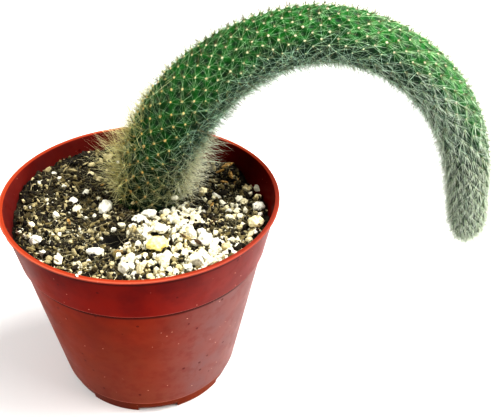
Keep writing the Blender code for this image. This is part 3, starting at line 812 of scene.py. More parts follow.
def makeSoilMesh():
    # A square grid drawn out to a disc, its height the soil's, with a side that follows the
    # pot's wall down to a flat underside. The top dips to a hole where the stem stands.
    count = soil["cells"] + 1
    u, v = np.meshgrid(np.linspace(-1, 1, count), np.linspace(-1, 1, count))
    x = u * np.sqrt(1 - v * v / 2)
    y = v * np.sqrt(1 - u * u / 2)
    bearing = np.arctan2(y, x)
    edge = np.full_like(x, innerRadius(np.array(soil["level"])))
    for _ in range(5):
        edge = innerRadius(soilHeight(edge * np.cos(bearing), edge * np.sin(bearing)))
        edge = edge - soil["wallGap"]
    x = x * edge
    y = y * edge
    hole = smoothStep(-offStem(x, y), *soil["holeEdge"])
    z = (1 - hole) * soilHeight(x, y) + hole * (stem["route"][0][1] - soil["lowerGap"])
    top = triples(x, y, z).reshape(-1, 3)
    number = np.arange(count * count).reshape(count, count)
    rim = np.concatenate((number[0, :-1], number[:-1, -1], number[-1, :0:-1], number[:0:-1, 0]))
    away = unit(top[rim, :2])
    step = pot["height"] - pot["bandDepth"]
    over = step + soil["overStep"]
    floor = pot["floorUnderside"] + pot["floorThickness"] + soil["lowerGap"]
    side = [(bandRadius(over) - pot["wall"] - soil["lowerGap"], over),
            (innerRadius(np.array(step)) - soil["lowerGap"], step - soil["underStep"]),
            (innerRadius(np.array(floor)) - soil["lowerGap"], floor)]
    rings = [np.column_stack((radius * away, np.full(len(rim), height))) for radius, height in side]
    points = np.concatenate((top, *rings, [(0, 0, floor)]))
    chain = [rim] + [len(top) + len(rim) * index + np.arange(len(rim)) for index in range(len(side))]
    walls = [np.stack((lower, np.roll(lower, -1), np.roll(upper, -1), upper), axis=-1)
             for upper, lower in zip(chain, chain[1:])]
    faces = [np.concatenate((gridFaces(count, count, closed=False), *walls)),
             fanFaces(chain[-1], len(points) - 1, flip=True)]
    # How far under its plane the soil lies, which sets its painted shade
    below = soilPlane(points[:, 1]) + soil["shadeTop"] - points[:, 2]
    return fillMesh("pottingSoil", points, faces, low=np.clip(below / soil["shadeDepth"], 0, 1))


def makePeatMaterial():
    # Dark peat: black gaps, brown crumbs and olive fibres by two noises, with painted shade where
    # it lies low
    material, tree, shader = startMaterial("peat")
    coarse = placeGroup(tree, mottle, dark=(0.003, 0.002, 0.001), light=(0.032, 0.024, 0.011),
                        scale=420.0, low=0.36, high=0.64)
    fine = placeGroup(tree, mottle, scale=1500.0, low=0.52, high=0.72)["Mask"]
    colour = layCoats(tree, coarse["Colour"], soil["coats"], fibres=fine)
    finishSurface(shader, colour, 0.95, (fine, 0.6, 0.0006))
    return material


def makeCrumbMaterial():
    # Loose bits: from black peat through brown and olive to pale straw, by each bit's tone
    material, tree, shader = startMaterial("crumb")
    colour = colourRamp(tree, readMark(tree, "tone"), (0.0, (0.006, 0.004, 0.002)),
                        (0.40, (0.030, 0.021, 0.009)), (0.70, (0.20, 0.160, 0.060)),
                        (1.0, (0.66, 0.58, 0.34)))
    grain = placeGroup(tree, mottle, scale=1800.0, low=0.30, high=0.75)["Mask"]
    colour = layCoats(tree, colour, {"grain": (0.45, (0.02, 0.014, 0.008))}, grain=grain)
    finishSurface(shader, colour, 0.9, (grain, 0.5, 0.0003))
    return material


def scatterPlaces(count, draw, reach=0.0515):
    # Random places spread evenly over the soil, clear of the stem and of the open pit
    distance = reach * np.sqrt(draw.random(3 * count))
    bearing = draw.uniform(0, math.tau, 3 * count)
    x = distance * np.cos(bearing)
    y = distance * np.sin(bearing)
    pitX, pitY, pitRadius = soil["pit"]
    clear = offStem(x, y) > debris["stemGap"]
    clear &= np.hypot(x - pitX, y - pitY) > debris["pitShare"] * pitRadius
    return x[clear][:count], y[clear][:count]


debris = {
    "crumbs": 3500, "fibres": 5400, "flakes": 420,
    "crumbSeed": 21, "fibreSeed": 22, "flakeSeed": 23, "barkSeed": 24,
    # Clearances from the stem and, as a share of its radius, from the pit's middle; how high
    # bits lie over the drift or the soil, or what share of their size they are raised
    "stemGap": 0.0006, "pitShare": 1.15, "onDrift": 0.0005, "raise": 0.45, "fibreLift": 0.0002,
    "flakeRaise": 0.3, "barkOnDrift": 0.0007, "barkLift": 0.0010,
    # Crumbs: radius of the smallest and how much more the largest has, flattest and fullest
    # shape, the share that lies on the drift, and from which y and -x they are coarser
    "crumbSize": (0.00035, 0.00095), "crumbShape": ((0.9, 0.60, 0.45), (1.7, 1.10, 0.90)),
    "crumbsOnTop": 0.40, "coarser": 0.4, "coarseBack": (0.016, 0.030), "coarseLeft": (0.0, 0.012),
    # Fibres: their length and width as the crumbs' radius, how they rise and bend
    "fibreLength": (0.0014, 0.0066), "fibreWidth": (0.00006, 0.00016),
    "fibreRise": (-0.12, 0.40), "fibreBend": 0.85,
    "flakeSize": (0.0007, 0.0017), "flakeShape": ((0.9, 0.5, 0.15), (1.6, 0.9, 0.3)),
    # Bark chips, most of them in the heap at the back right, the dark ones on the drift:
    # place, length and bearing, in mm and degrees
    "bark": ((33.1, 33.2, 5.4, 60), (34.5, 29.0, 4.6, 120), (29.8, 30.6, 3.8, 20), (36.8, 26.4, 4.2, 80),
             (31.5, 26.0, 3.4, 150), (26.5, 27.5, 3.0, 45), (38.6, 17.6, 3.6, 100), (27.5, 6.5, 3.4, 70),
             (-20.5, 20.5, 3.2, 10), (-27.8, -9.2, 3.4, 60), (23.8, -24.0, 6.4, -6), (18.4, -20.6, 3.6, 60),
             (29.0, -9.0, 3.6, 30), (-4.8, -29.0, 4.0, 70)),
    "barkShape": (0.50, 0.17, 0.15), "barkShapeOnDrift": (0.50, 0.11, 0.11), "barkSlant": 0.35,
}
crumbForm = {"cuts": 1, "rough": 0.25, "lumps": 0.0, "chips": 2, "tumble": 1.0, "smooth": False}
flakeForm = {"cuts": 1, "rough": 0.20, "lumps": 0.0, "chips": 0, "tumble": 0.35, "smooth": False}
barkForm = {"cuts": 3, "rough": 0.03, "lumps": 0.5, "chips": 3, "tumble": 0.0, "smooth": False}
strawPaint = ((0.060, 0.044, 0.016), (0.16, 0.125, 0.045), (0.68, 0.58, 0.32), (0.94, 0.87, 0.60), 0.85)


def makeCrumbs():
    # Small uneven lumps that lie half sunk in the soil, some of them on top of the drift
    draw = np.random.default_rng(debris["crumbSeed"])
    x, y = scatterPlaces(debris["crumbs"], draw)
    back, left = smoothStep(y, *debris["coarseBack"]), smoothStep(-x, *debris["coarseLeft"])
    coarse = 1 + debris["coarser"] * back * left
    smallest, more = debris["crumbSize"]
    size = (smallest + more * draw.random(len(x)) ** 2.0) * coarse
    onTop = draw.random(len(x)) < debris["crumbsOnTop"]
    z = np.where(onTop, restHeight(x, y) + debris["onDrift"], soilHeight(x, y)) + debris["raise"] * size
    sizes = size[:, None] * draw.uniform(*debris["crumbShape"], (len(x), 3))
    inside = np.hypot(x, y) < innerRadius(z) - 2.0 * size
    tone = draw.beta(0.55, np.where(y < -0.010, 0.60, 0.80))
    places = triples(x, y, z)[inside]
    return scatterLumps("soilCrumbs", places, sizes[inside], crumbForm, draw, tone=tone[inside])


def makeFibres():
    # Thin bent straws of peat and coir that lie almost flat on the soil
    draw = np.random.default_rng(debris["fibreSeed"])
    x, y = scatterPlaces(debris["fibres"], draw, 0.048)
    count = len(x)
    bearing = draw.uniform(0, math.tau, count)
    rise = draw.uniform(*debris["fibreRise"], count)
    way = unit(triples(np.cos(bearing), np.sin(bearing), rise))
    shortest, longer = debris["fibreLength"]
    length = shortest + longer * draw.random(count) ** 1.8
    bend = debris["fibreBend"] * triples(-np.sin(bearing), np.cos(bearing), -rise)
    thinnest, wider = debris["fibreWidth"]
    hairs = {"root": triples(x, y, soilHeight(x, y) + debris["fibreLift"]), "way": way,
             "bend": bend * draw.uniform(-1, 1, (count, 1)), "length": length,
             "width": thinnest + wider * draw.random(count) ** 1.6, "kind": draw.random(count),
             "warm": draw.random(count) ** np.where(y < -0.012, 0.65, 1.2)}
    endX, endY, endZ = (hairs["root"] + length[:, None] * (way + hairs["bend"])).T
    inside = np.hypot(endX, endY) < innerRadius(endZ) - 0.0004
    inside &= offStem(endX, endY) > 0
    return growHairs("soilFibres", {key: values[inside] for key, values in hairs.items()}, 2)


def makeFlakes():
    # Flat bits of bark that lie at a slant
    draw = np.random.default_rng(debris["flakeSeed"])
    x, y = scatterPlaces(debris["flakes"], draw, 0.047)
    size = draw.uniform(*debris["flakeSize"], len(x))
    sizes = size[:, None] * draw.uniform(*debris["flakeShape"], (len(x), 3))
    places = triples(x, y, soilHeight(x, y) + debris["flakeRaise"] * size)
    return scatterLumps("barkFlakes", places, sizes, flakeForm, draw,
                        tone=draw.uniform(0.35, 1.0, len(x)))


def makeBark():
    # The larger chips, at their listed places: each leans up along its length, then is turned about
    # the vertical by its bearing
    draw = np.random.default_rng(debris["barkSeed"])
    toMetres = ((0.001,), (0.001,), (0.001,), (math.pi / 180,))
    x, y, length, bearing = np.array(debris["bark"]).T * toMetres
    onTop = offDrift(x, y) < -0.002
    z = np.where(onTop, restHeight(x, y) + debris["barkOnDrift"], soilHeight(x, y)) + debris["barkLift"]
    shapes = np.where(onTop[:, None], debris["barkShapeOnDrift"], debris["barkShape"])
    mesh = scatterLumps("barkChips", np.zeros((len(x), 3)), length[:, None] * shapes, barkForm, draw,
                        tone=np.where(onTop, 0.10, draw.uniform(0.75, 0.95, len(x))))
    lean = np.array(((1, 0, debris["barkSlant"]), (0, 1, 0), (0, 0, 1)))
    local = readCorners(mesh).reshape(len(x), -1, 3) @ lean
    turn = np.stack((triples(np.cos(bearing), -np.sin(bearing)),
                     triples(np.sin(bearing), np.cos(bearing)), triples(0 * x, 0.0, 1.0)), axis=1)
    moveCorners(mesh, np.einsum("nij,nkj->nki", turn, local) + triples(x, y, z)[:, None])
    return mesh


def makeBarkMaterial():
    # Golden brown bark with darker grain
    material, tree, shader = startMaterial("bark")
    grain = placeGroup(tree, mottle, dark=(0.10, 0.050, 0.012), light=(0.62, 0.40, 0.13),
                       scale=900.0, low=0.30, high=0.62)
    colour = mixColours(tree, readMark(tree, "tone"), (0.035, 0.016, 0.009), grain["Colour"])
    finishSurface(shader, colour, 0.8, (grain["Mask"], 0.6, 0.0004))
    return material


crumbMaterial = makeCrumbMaterial()
addPiece("pottingSoil", makeSoilMesh(), makePeatMaterial(), "soil", "soil")
addPiece("soilCrumbs", makeCrumbs(), crumbMaterial, "soil")
addPiece("soilFibres", makeFibres(), makeStrandMaterial("strawFibre", strawPaint, 0.8), "soil")
addPiece("barkFlakes", makeFlakes(), crumbMaterial, "soil")
addPiece("barkChips", makeBark(), makeBarkMaterial(), "soil")
print("soil done")


# Perlite and pumice

grains = {
    "tries": 7200, "smallest": 0.00034, "largest": 0.0017, "strays": 1200, "seed": 31,
    # How far the grains are thrown and may lie, the share of their radii that keeps them
    # apart, the cell and depth of the thin patches, and how uneven the drift's edge is
    "throw": 0.0400, "reach": 0.0505, "spacing": 0.62, "patch": 0.0060, "thinFrom": -0.32,
    "edgeUneven": 0.0030,
    # Grains spilt outside: how far, how many, and from which x to which they grow in number
    "spill": 0.0060, "spillChance": 0.65, "spillSide": (-0.004, 0.030),
    # What share of their size grains are raised over what they lie on, and the x over which
    # and the y under which all strays are kept
    "largeRaise": 0.28, "thrownRaise": 0.35, "strayRaise": 0.4, "strayCorner": (0.018, 0.026),
    # How uneven the gaps are and the share of grains left in them; from which -y to which the
    # strays grow in number, and the smallest stray and how much more the largest has; the
    # radius from which thrown grains are cut finer; flattest and fullest shapes
    "gapUneven": 0.35, "gapChance": 0.10, "strayFront": (-0.030, 0.020),
    "straySize": (0.00028, 0.00070), "mediumFrom": 0.00075,
    "largeShape": ((1.00, 0.80, 0.62), (1.25, 1.0, 0.85)),
    "thrownShape": ((0.8, 0.7, 0.6), (1.3, 1.0, 0.9)),
    # Large grains, listed one by one: place and size, in mm
    "front": ((9.8, -1.1, 3.6), (14.3, -7.6, 3.5), (16.3, -1.8, 2.4), (21.6, -7.2, 4.3),
              (16.1, -10.7, 3.1), (19.6, -13.2, 3.1), (15.9, -20.0, 2.3), (17.7, -16.3, 2.7),
              (21.4, -19.3, 4.6), (24.7, -17.0, 3.8), (27.2, -22.7, 5.6), (30.3, -16.9, 3.1),
              (31.0, -22.2, 3.8), (35.3, -22.7, 4.2), (35.7, -26.5, 3.4), (23.4, -23.5, 3.0),
              (17.1, -28.2, 3.7), (19.6, -30.4, 2.2), (12.6, -34.5, 5.4), (13.3, -37.7, 4.3),
              (7.3, -37.5, 3.6), (4.8, -40.1, 5.0), (-1.6, -38.6, 5.4), (0.4, -35.1, 4.7),
              (-2.1, -27.3, 2.6), (-4.9, -30.5, 3.0), (16.6, -32.3, 2.2), (-6.4, -35.1, 2.2),
              (2.4, -41.8, 2.5), (4.7, -43.4, 1.6), (7.5, -43.3, 2.0), (25.1, -35.4, 6.2),
              (21.8, -34.2, 3.3), (22.1, -38.3, 3.2), (28.7, -33.0, 4.0), (32.3, -30.9, 3.3),
              (30.1, -28.0, 3.7), (26.7, -28.4, 2.6), (34.3, -27.8, 2.6), (38.9, -17.2, 1.7),
              (-2.3, -11.6, 3.5), (-6.6, -10.0, 3.1), (3.3, -16.5, 4.2), (-9.7, -13.0, 2.3),
              (4.8, -31.1, 2.2), (12.2, 3.4, 2.0), (9.6, -4.0, 1.8), (14.6, 1.6, 2.2), (18.6, 2.2, 2.4),
              (20.6, -2.4, 2.0), (22.8, 4.4, 1.8), (6.4, -8.6, 1.8), (12.0, -5.0, 2.2)),
    "right": ((34.4, 2.4, 2.8), (38.7, 12.0, 3.3), (41.1, 9.7, 2.9), (38.1, 1.6, 2.8),
              (41.7, 2.7, 2.8), (40.1, -8.3, 2.8), (43.4, -15.2, 2.7), (45.3, -13.6, 2.3),
              (46.2, 20.4, 3.4), (30.1, 14.3, 1.7), (27.6, 7.8, 1.7), (24.4, 11.6, 1.7),
              (35.8, 8.0, 2.1), (47.6, 0.6, 2.4), (43.0, 16.6, 2.2)),
    "left": ((-25.7, 13.4, 2.9), (-29.1, 5.8, 3.7), (-37.4, 18.9, 2.6), (-33.8, -4.6, 3.2),
             (-26.8, -0.2, 4.0), (-18.5, -4.1, 2.4), (-13.6, -4.5, 3.6), (-41.4, -12.9, 3.1),
             (-32.5, -30.7, 3.7), (-25.9, -34.8, 4.0), (-18.1, -37.3, 2.9),
             (-15.3, -35.0, 2.2), (-32.1, 5.2, 2.0), (-39.4, 4.2, 2.1), (-44.0, 14.0, 2.6),
             (-40.0, 21.1, 2.2), (-25.9, 26.0, 2.6), (-34.8, 15.8, 2.1), (-29.5, -17.3, 1.9),
             (-22.7, -13.3, 1.6), (-14.9, -17.2, 1.9), (-45.5, -16.7, 1.9),
             (-42.2, -18.8, 2.3), (-13.2, 0.1, 2.0), (-19.5, 10.0, 1.7)),
    # Grains caught higher up, in the spines and on the lip: place and size, in mm
    "caught": ((12.6, 4.9, 81.9, 2.6), (-4.0, 1.2, 81.2, 1.4), (-16.4, 12.0, 78.9, 1.4),
               (-10.2, 10.2, 94.6, 1.2), (-15.0, -51.9, 87.4, 1.2)),
    # Places where the soil shows between the grains: place and radius, in mm
    "gaps": ((-8.7, -18.7, 3.6), (21.5, -25.2, 1.6), (25.5, -24.6, 1.7), (33.5, -11.0, 5.0),
             (16.6, -34.9, 3.6), (9.5, -39.6, 2.6), (-0.6, -18.6, 3.4), (28.6, -3.0, 5.0),
             (9.0, -8.0, 2.0), (0.0, -31.0, 1.8), (14.0, -24.0, 1.4),
             (23.8, -24.0, 2.2), (39.7, -14.0, 2.2), (-7.8, -19.4, 4.6)),
}
heroForm = {"cuts": 4, "rough": 0.0, "lumps": 0.75, "chips": 5, "tumble": 0.5, "smooth": True}
mediumForm = {"cuts": 2, "rough": 0.10, "lumps": 0.3, "chips": 3, "tumble": 1.0, "smooth": False}
fineForm = {"cuts": 1, "rough": 0.15, "lumps": 0.0, "chips": 2, "tumble": 1.0, "smooth": False}


def offChunks(x, y):
    # How far a place lies outside the nearest loose chunk, each taken as a disc
    boxes = np.array([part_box(node) for node in sorted(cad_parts) if "chunk" in node])
    middle = boxes[:, :, :2].mean(axis=1)
    half = (boxes[:, 1, :2] - boxes[:, 0, :2]).mean(axis=1) / 2
    away = np.hypot(np.subtract.outer(x, middle[:, 0]), np.subtract.outer(y, middle[:, 1]))
    return (away - half).min(axis=1)


def thrownGrains(draw):
    # Grains thrown at random over the drift, thinner where the soil shows, each kept where
    # it clears the ones before it
    count = grains["tries"]
    radius = grains["smallest"] + (grains["largest"] - grains["smallest"]) * draw.random(count) ** 3.0
    radius = np.sort(radius)[::-1]
    distance = grains["throw"] * np.sqrt(draw.random(count))
    bearing = draw.uniform(0, math.tau, count)
    x = drift["centre"][0] + distance * np.cos(bearing)
    y = drift["centre"][1] + distance * np.sin(bearing)
    off = offDrift(x, y)
    patchy = smoothNoise(triples(x, y), grains["patch"], 33)
    bare = np.zeros(count, bool)
    for gx, gy, reach in np.array(grains["gaps"]) / 1000:
        bare |= np.hypot(x - gx, y - gy) < reach * (1 + grains["gapUneven"] * patchy)
    spill = smoothStep(x, *grains["spillSide"]) * np.exp(-np.maximum(off, 0) / grains["spill"])
    good = off < 0.0004 + grains["edgeUneven"] * patchy
    good |= draw.random(count) < grains["spillChance"] * spill
    good &= (patchy > grains["thinFrom"]) & (offStem(x, y) > radius)
    good &= np.hypot(x, y) + radius < grains["reach"]
    good &= (~bare | (draw.random(count) < grains["gapChance"])) & (offChunks(x, y) > 0.5 * radius)
    kept = []
    for index in np.flatnonzero(good):
        near = np.hypot(x[kept] - x[index], y[kept] - y[index])
        if not len(kept) or np.all(near > grains["spacing"] * (radius[kept] + radius[index])):
            kept.append(index)
    return x[kept], y[kept], radius[kept]


def makeDrift():
    # The listed large grains, the thrown ones and the strays over the whole soil
    draw = np.random.default_rng(grains["seed"])
    x, y, radius = thrownGrains(draw)
    large = np.array(grains["front"] + grains["right"] + grains["left"]) / 1000
    large = large[offChunks(large[:, 0], large[:, 1]) > 0.1 * large[:, 2]]
    caught = np.array(grains["caught"]) / 1000
    rest = restHeight(large[:, 0], large[:, 1]) + grains["largeRaise"] * large[:, 2]
    heroes = np.concatenate((np.column_stack((large[:, :2], rest)), caught[:, :3]))
    across = np.append(large[:, 2], caught[:, 3])[:, None]
    heroSizes = across / 2 * draw.uniform(*grains["largeShape"], (len(across), 3))
    sx, sy = scatterPlaces(grains["strays"], draw, 0.049)
    toFront = smoothStep(-sy, *grains["strayFront"])
    side, back = grains["strayCorner"]
    near = draw.random(len(sx)) < np.maximum(toFront, (sx > side) * (sy < back))
    sx, sy = sx[near], sy[near]
    smallest, more = grains["straySize"]
    size = smallest + more * draw.random(len(sx)) ** 3
    thrown = np.concatenate((triples(x, y, restHeight(x, y) + grains["thrownRaise"] * radius),
                             triples(sx, sy, soilHeight(sx, sy) + grains["strayRaise"] * size)))
    shape = draw.uniform(*grains["thrownShape"], (len(thrown), 3))
    thrownSizes = np.append(radius, size)[:, None] * shape
    big = thrownSizes[:, 0] > grains["mediumFrom"]
    return (scatterLumps("driftGrains", heroes, heroSizes, heroForm, draw,
                         tone=draw.beta(1.2, 2.6, len(heroes))),
            scatterLumps("middleGrains", thrown[big], thrownSizes[big], mediumForm, draw,
                         tone=draw.beta(1.4, 2.6, big.sum())),
            scatterLumps("fineGrains", thrown[~big], thrownSizes[~big], fineForm, draw,
                         tone=draw.beta(1.4, 2.2, (~big).sum())))


def makePerliteMaterial():
    # White to cream expanded grains, shaded between the bumps, with small pores
    material, tree, shader = startMaterial("perliteGrain")
    colour = colourRamp(tree, readMark(tree, "tone"), (0.0, (0.96, 0.95, 0.85)),
                        (0.45, (0.93, 0.88, 0.66)), (0.8, (0.74, 0.62, 0.32)), (1.0, (0.42, 0.32, 0.14)))
    grain = placeGroup(tree, mottle, scale=1300.0, low=0.30, high=0.62)["Mask"]
    pores = placeGroup(tree, specks, scale=2600.0, size=0.28, cover=0.16)["Mask"]
    coats = {"hollows": (0.22, (0.50, 0.46, 0.30)), "pores": (0.4, (0.30, 0.27, 0.17))}
    hollows = calculate(tree, "SUBTRACT", 1.0, grain)
    colour = layCoats(tree, colour, coats, hollows=hollows, pores=pores)
    finishSurface(shader, colour, 0.92, (grain, 0.8, 0.0004))
    return material


def makePumiceMaterial():
    # Yellow-cream to tan grains with brown stains and pores
    material, tree, shader = startMaterial("pumiceGrain")
    clouds = placeGroup(tree, mottle, dark=(0.58, 0.46, 0.22), light=(0.90, 0.84, 0.58),
                        scale=300.0, low=0.34, high=0.58)["Colour"]
    yellow = mixColours(tree, 1.0, clouds, (1.0, 0.96, 0.60), "MULTIPLY")
    colour = mixColours(tree, readMark(tree, "tone"), clouds, yellow)
    stains = placeGroup(tree, mottle, scale=700.0, low=0.60, high=0.74)["Mask"]
    colour = layCoats(tree, colour, {"stains": (0.65, (0.30, 0.20, 0.06))}, stains=stains)
    finishSurface(shader, colour, 0.9, (stains, 0.6, 0.0004))
    return material


chunkRelief = {"cell": 0.0017, "fineCell": 0.0008, "middle": 0.30, "depth": 0.0014, "fineDepth": 0.00045}
# The chunks of each kind: how many, their seed less their number, their tone, and the number
# and tone of the one that is different
chunks = {
    "perlite": {"count": 7, "seed": 40, "tone": 0.05, "other": (4, 0.30)},
    "pumice": {"count": 5, "seed": 60, "tone": 0.1, "other": (1, 1.0)},
}


def makeChunk(name, node, material, slot, seed, tone):
    # The node's own form, merged and cut finer, then swelled and pitted along its normals
    # by folded noise, which leaves round lumps with creases between them
    bm = bmesh.new()
    bm.from_mesh(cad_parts[node].data)
    bmesh.ops.remove_doubles(bm, verts=bm.verts, dist=1e-6)
    rough = closeMesh("rough", bm)
    mesh = modifiedMesh(rough, "SUBSURF", levels=2, render_levels=2, subdivision_type="SIMPLE")
    points = readCorners(mesh)
    folded = foldedNoise(points, chunkRelief["cell"], seed, chunkRelief["middle"])
    finest = foldedNoise(points, chunkRelief["fineCell"], seed + 1, chunkRelief["middle"])
    depth = chunkRelief["depth"] * folded + chunkRelief["fineDepth"] * finest
    moveCorners(mesh, points + readCorners(mesh, "normal") * depth[:, None])
    addMark(mesh, "tone", np.full(len(points), tone))
    mesh.shade_smooth()
    addPiece(name, mesh, material, slot, node)


perliteMaterial = makePerliteMaterial()
chunkMaterials = {"perlite": perliteMaterial, "pumice": makePumiceMaterial()}
driftMesh, middleMesh, fineMesh = makeDrift()
addPiece("driftGrains", driftMesh, perliteMaterial, "perlite", "perlite_drift")
addPiece("middleGrains", middleMesh, perliteMaterial, "perlite")
addPiece("fineGrains", fineMesh, perliteMaterial, "perlite")
for kind, plan in chunks.items():
    for number in range(1, plan["count"] + 1):
        other, otherTone = plan["other"]
        makeChunk(f"{kind}Chunk{number}", f"{kind}_chunk_{number}", chunkMaterials[kind], kind,
                  plan["seed"] + number, otherTone if number == other else plan["tone"])
print("perlite and pumice done")


# Stem

def naturalSpline(knots, values, where):
    # Cubic spline through the values, with no bend at either end
    count = len(knots)
    width = np.diff(knots)
    matrix = np.eye(count)
    right = np.zeros(count)
    for i in range(1, count - 1):
        matrix[i, i - 1:i + 2] = width[i - 1], 2 * (width[i - 1] + width[i]), width[i]
        right[i] = 6 * ((values[i + 1] - values[i]) / width[i]
                        - (values[i] - values[i - 1]) / width[i - 1])
    bend = np.linalg.solve(matrix, right)
    i = np.clip(np.searchsorted(knots, where) - 1, 0, count - 2)
    a = (knots[i + 1] - where) / width[i]
    b = 1 - a
    return (a * values[i] + b * values[i + 1]
            + ((a ** 3 - a) * bend[i] + (b ** 3 - b) * bend[i + 1]) * width[i] ** 2 / 6)


def stemRoute():
    # The route's points, their distances along it, and the distance of each row of
    # tubercles: three rows in the soil, then rows at their spacing there, up to where the
    # tip's round end starts
    route = np.array(stem["route"])
    knots = np.concatenate(([0.0], np.cumsum(np.hypot(*np.diff(route[:, :2], axis=0).T))))
    start, end = stem["buriedLength"], knots[-1] - stem["tipLength"]
    rows = [start]
    while rows[-1] < end:
        rows.append(rows[-1] + np.interp(rows[-1] / knots[-1], *np.array(stem["spacing"]).T))
    rows = start + (np.array(rows) - start) * (end - start) / (rows[-1] - start)
    return route, knots, np.concatenate((np.linspace(0, start, stem["buriedRows"])[:-1], rows))


def stemFrame(row, column):
    # Place on the stem by row and column of the tubercles: centre and radius by cubic
    # splines through the route, directions forward, outward and around, share of the length,
    # and the cosine of the turn from the bend's inner side. On the tip's round end the rows
    # follow a quarter circle.
    route, knots, rows = stemRoute()
    turn = np.clip((row - len(rows) + 1) / stem["tipRows"], 0, 1) * math.pi / 2
    at = np.interp(row, np.arange(len(rows)), rows) + stem["tipLength"] * np.sin(turn)
    along, height, radius = (naturalSpline(knots, route[:, i], at) for i in range(3))
    nextAlong, nextHeight = (naturalSpline(knots, route[:, i], at + 1e-4) for i in range(2))
    upright = 1 - smoothStep(at, stem["buriedLength"], stem["buriedLength"] + stem["uprightEnd"])
    run = (nextAlong - along) * (1 - upright)
    rise = (nextHeight - height) * (1 - upright) + 1e-4 * upright
    along = np.where(at < stem["buriedLength"], route[0, 0], along)
    ahead = np.array((math.cos(stem["heading"]), math.sin(stem["heading"]), 0.0))
    up = np.array((0.0, 0.0, 1.0))
    side = np.array((-ahead[1], ahead[0], 0.0))
    centre = np.array((*stem["foot"], 0.0)) + along[..., None] * ahead + height[..., None] * up
    forward = unit(run[..., None] * ahead + rise[..., None] * up)
    inward = np.cross(side, forward)
    bearing = math.tau * column / stem["columns"]
    outward = np.cos(bearing)[..., None] * inward + np.sin(bearing)[..., None] * side
    return {"centre": centre, "radius": radius * np.cos(turn), "forward": forward, "outward": outward,
            "around": np.cross(forward, outward), "share": at / knots[-1], "inner": np.cos(bearing)}


def stemRows():
    # How many rows of tubercles the stem has, with those of its round end
    return len(stemRoute()[2]) + stem["tipRows"]


def undersideShare(place, low, high):
    # The smooth step of the cosine of the bearing from the bend's inner side, which counts
    # for less near the foot
    nearFoot = 1 - smoothStep(place["share"], *stem["undersideFade"])
    return smoothStep(place["inner"] - stem["underside"] * nearFoot, low, high)


def makeStemMesh():
    # A tube round the route. Its tubercles are an egg-crate wave of row and column, whose
    # peaks reach the areoles and whose valleys lie a tubercle's height lower.
    rows = stemRows()
    cuts = stem["cuts"]
    row = np.linspace(0, rows - 1, (rows - 1) * cuts + 1)[:-1]
    column = np.arange(stem["columns"] * cuts) / cuts
    row, column = np.meshgrid(row, column, indexing="ij")
    place = stemFrame(row, column)
    wave = 0.5 + 0.5 * np.cos(math.pi * row) * np.cos(math.pi * column)
    depth = np.minimum(stem["tubercle"], stem["tubercleShare"] * place["radius"]) * smoothStep(row, 1, 2.5)
    spot = place["centre"] + place["radius"][..., None] * place["outward"]
    height, cell = stem["skinNoise"]
    radius = place["radius"] - depth * (1 - wave ** 1.1) + height * smoothNoise(spot, cell, 70)
    points = (place["centre"] + radius[..., None] * place["outward"]).reshape(-1, 3)
    end = stemFrame(np.array([rows - 1.0]), np.array([0.0]))["centre"]
    foot = place["centre"][0, :1]
    # Where the painted shade lies on the underside of the arch
    under = undersideShare(place, -0.55, 0.20)
    return fillMesh("stemSkin", np.concatenate((points, foot, end)), tubeFaces(*row.shape),
                    share=np.append(place["share"].ravel(), (0, 1)),
                    peak=np.append(wave.ravel(), (0, 0)),
                    under=np.append(under.ravel(), (0, 0)))


def makeSkinMaterial():
    # Green skin: fresh on the arch, near black at the foot, greyer at the tip, with painted shade on
    # the underside of the arch and in the valleys between the tubercles
    material, tree, shader = startMaterial("greenSkin")
    fresh = placeGroup(tree, mottle, dark=(0.001, 0.048, 0.003), light=(0.005, 0.134, 0.010),
                       scale=170.0, low=0.35, high=0.65)["Colour"]
    length = colourRamp(tree, readMark(tree, "share"), (0.06, (0.05, 0.10, 0.05)),
                        (0.14, (0.22, 0.34, 0.20)), (0.20, (0.50, 0.70, 0.50)),
                        (0.30, (0.76, 0.84, 0.78)), (0.42, (1.0, 1.0, 1.0)), (0.70, (0.92, 1.0, 0.95)),
                        (0.82, (0.32, 0.38, 0.30)), (1.0, (0.24, 0.27, 0.20)))
    peak = readMark(tree, "peak")
    colour = layCoats(tree, mixColours(tree, 1.0, fresh, length, "MULTIPLY"), stem["coats"],
                      valley=remap(tree, peak, 0.0, 0.50, 0.88, 0.0),
                      crown=remap(tree, peak, 0.80, 1.0, 0.0, 0.30))
    feed(shader, {"Specular IOR Level": 0.25})
    finishSurface(shader, colour, 0.55, (layerNoise(tree, 1400.0, 3.0), 0.25, 0.0003))
    return material


def areolePlaces():
    # Every second crossing of rows and columns above the soil, as in a chessboard
    rows = np.arange(stem["buriedRows"], stemRows() - 1)
    row, column = np.meshgrid(rows, np.arange(stem["columns"]), indexing="ij")
    dark = (row + column) % 2 == 0
    places = stemFrame(row[dark].astype(float), column[dark].astype(float))
    places["peak"] = places["centre"] + places["radius"][:, None] * places["outward"]
    return places


# The woolly pads: their radius, at most a share of the stem's, how uneven they are, their
# shape along, across and off the stem, how much larger they are near the foot and how much
# smaller where hairs hide them
pads = {
    "seed": 81, "radius": 0.00052, "radiusShare": 0.052, "spread": (0.85, 1.15), "rough": 0.16,
    "shape": (1.0, 0.85, 0.62), "larger": 0.30, "largerTo": (0.16, 0.34), "smaller": 0.35,
    "hiddenInside": (-0.3, 0.4), "hiddenFrom": (0.60, 0.85),
}


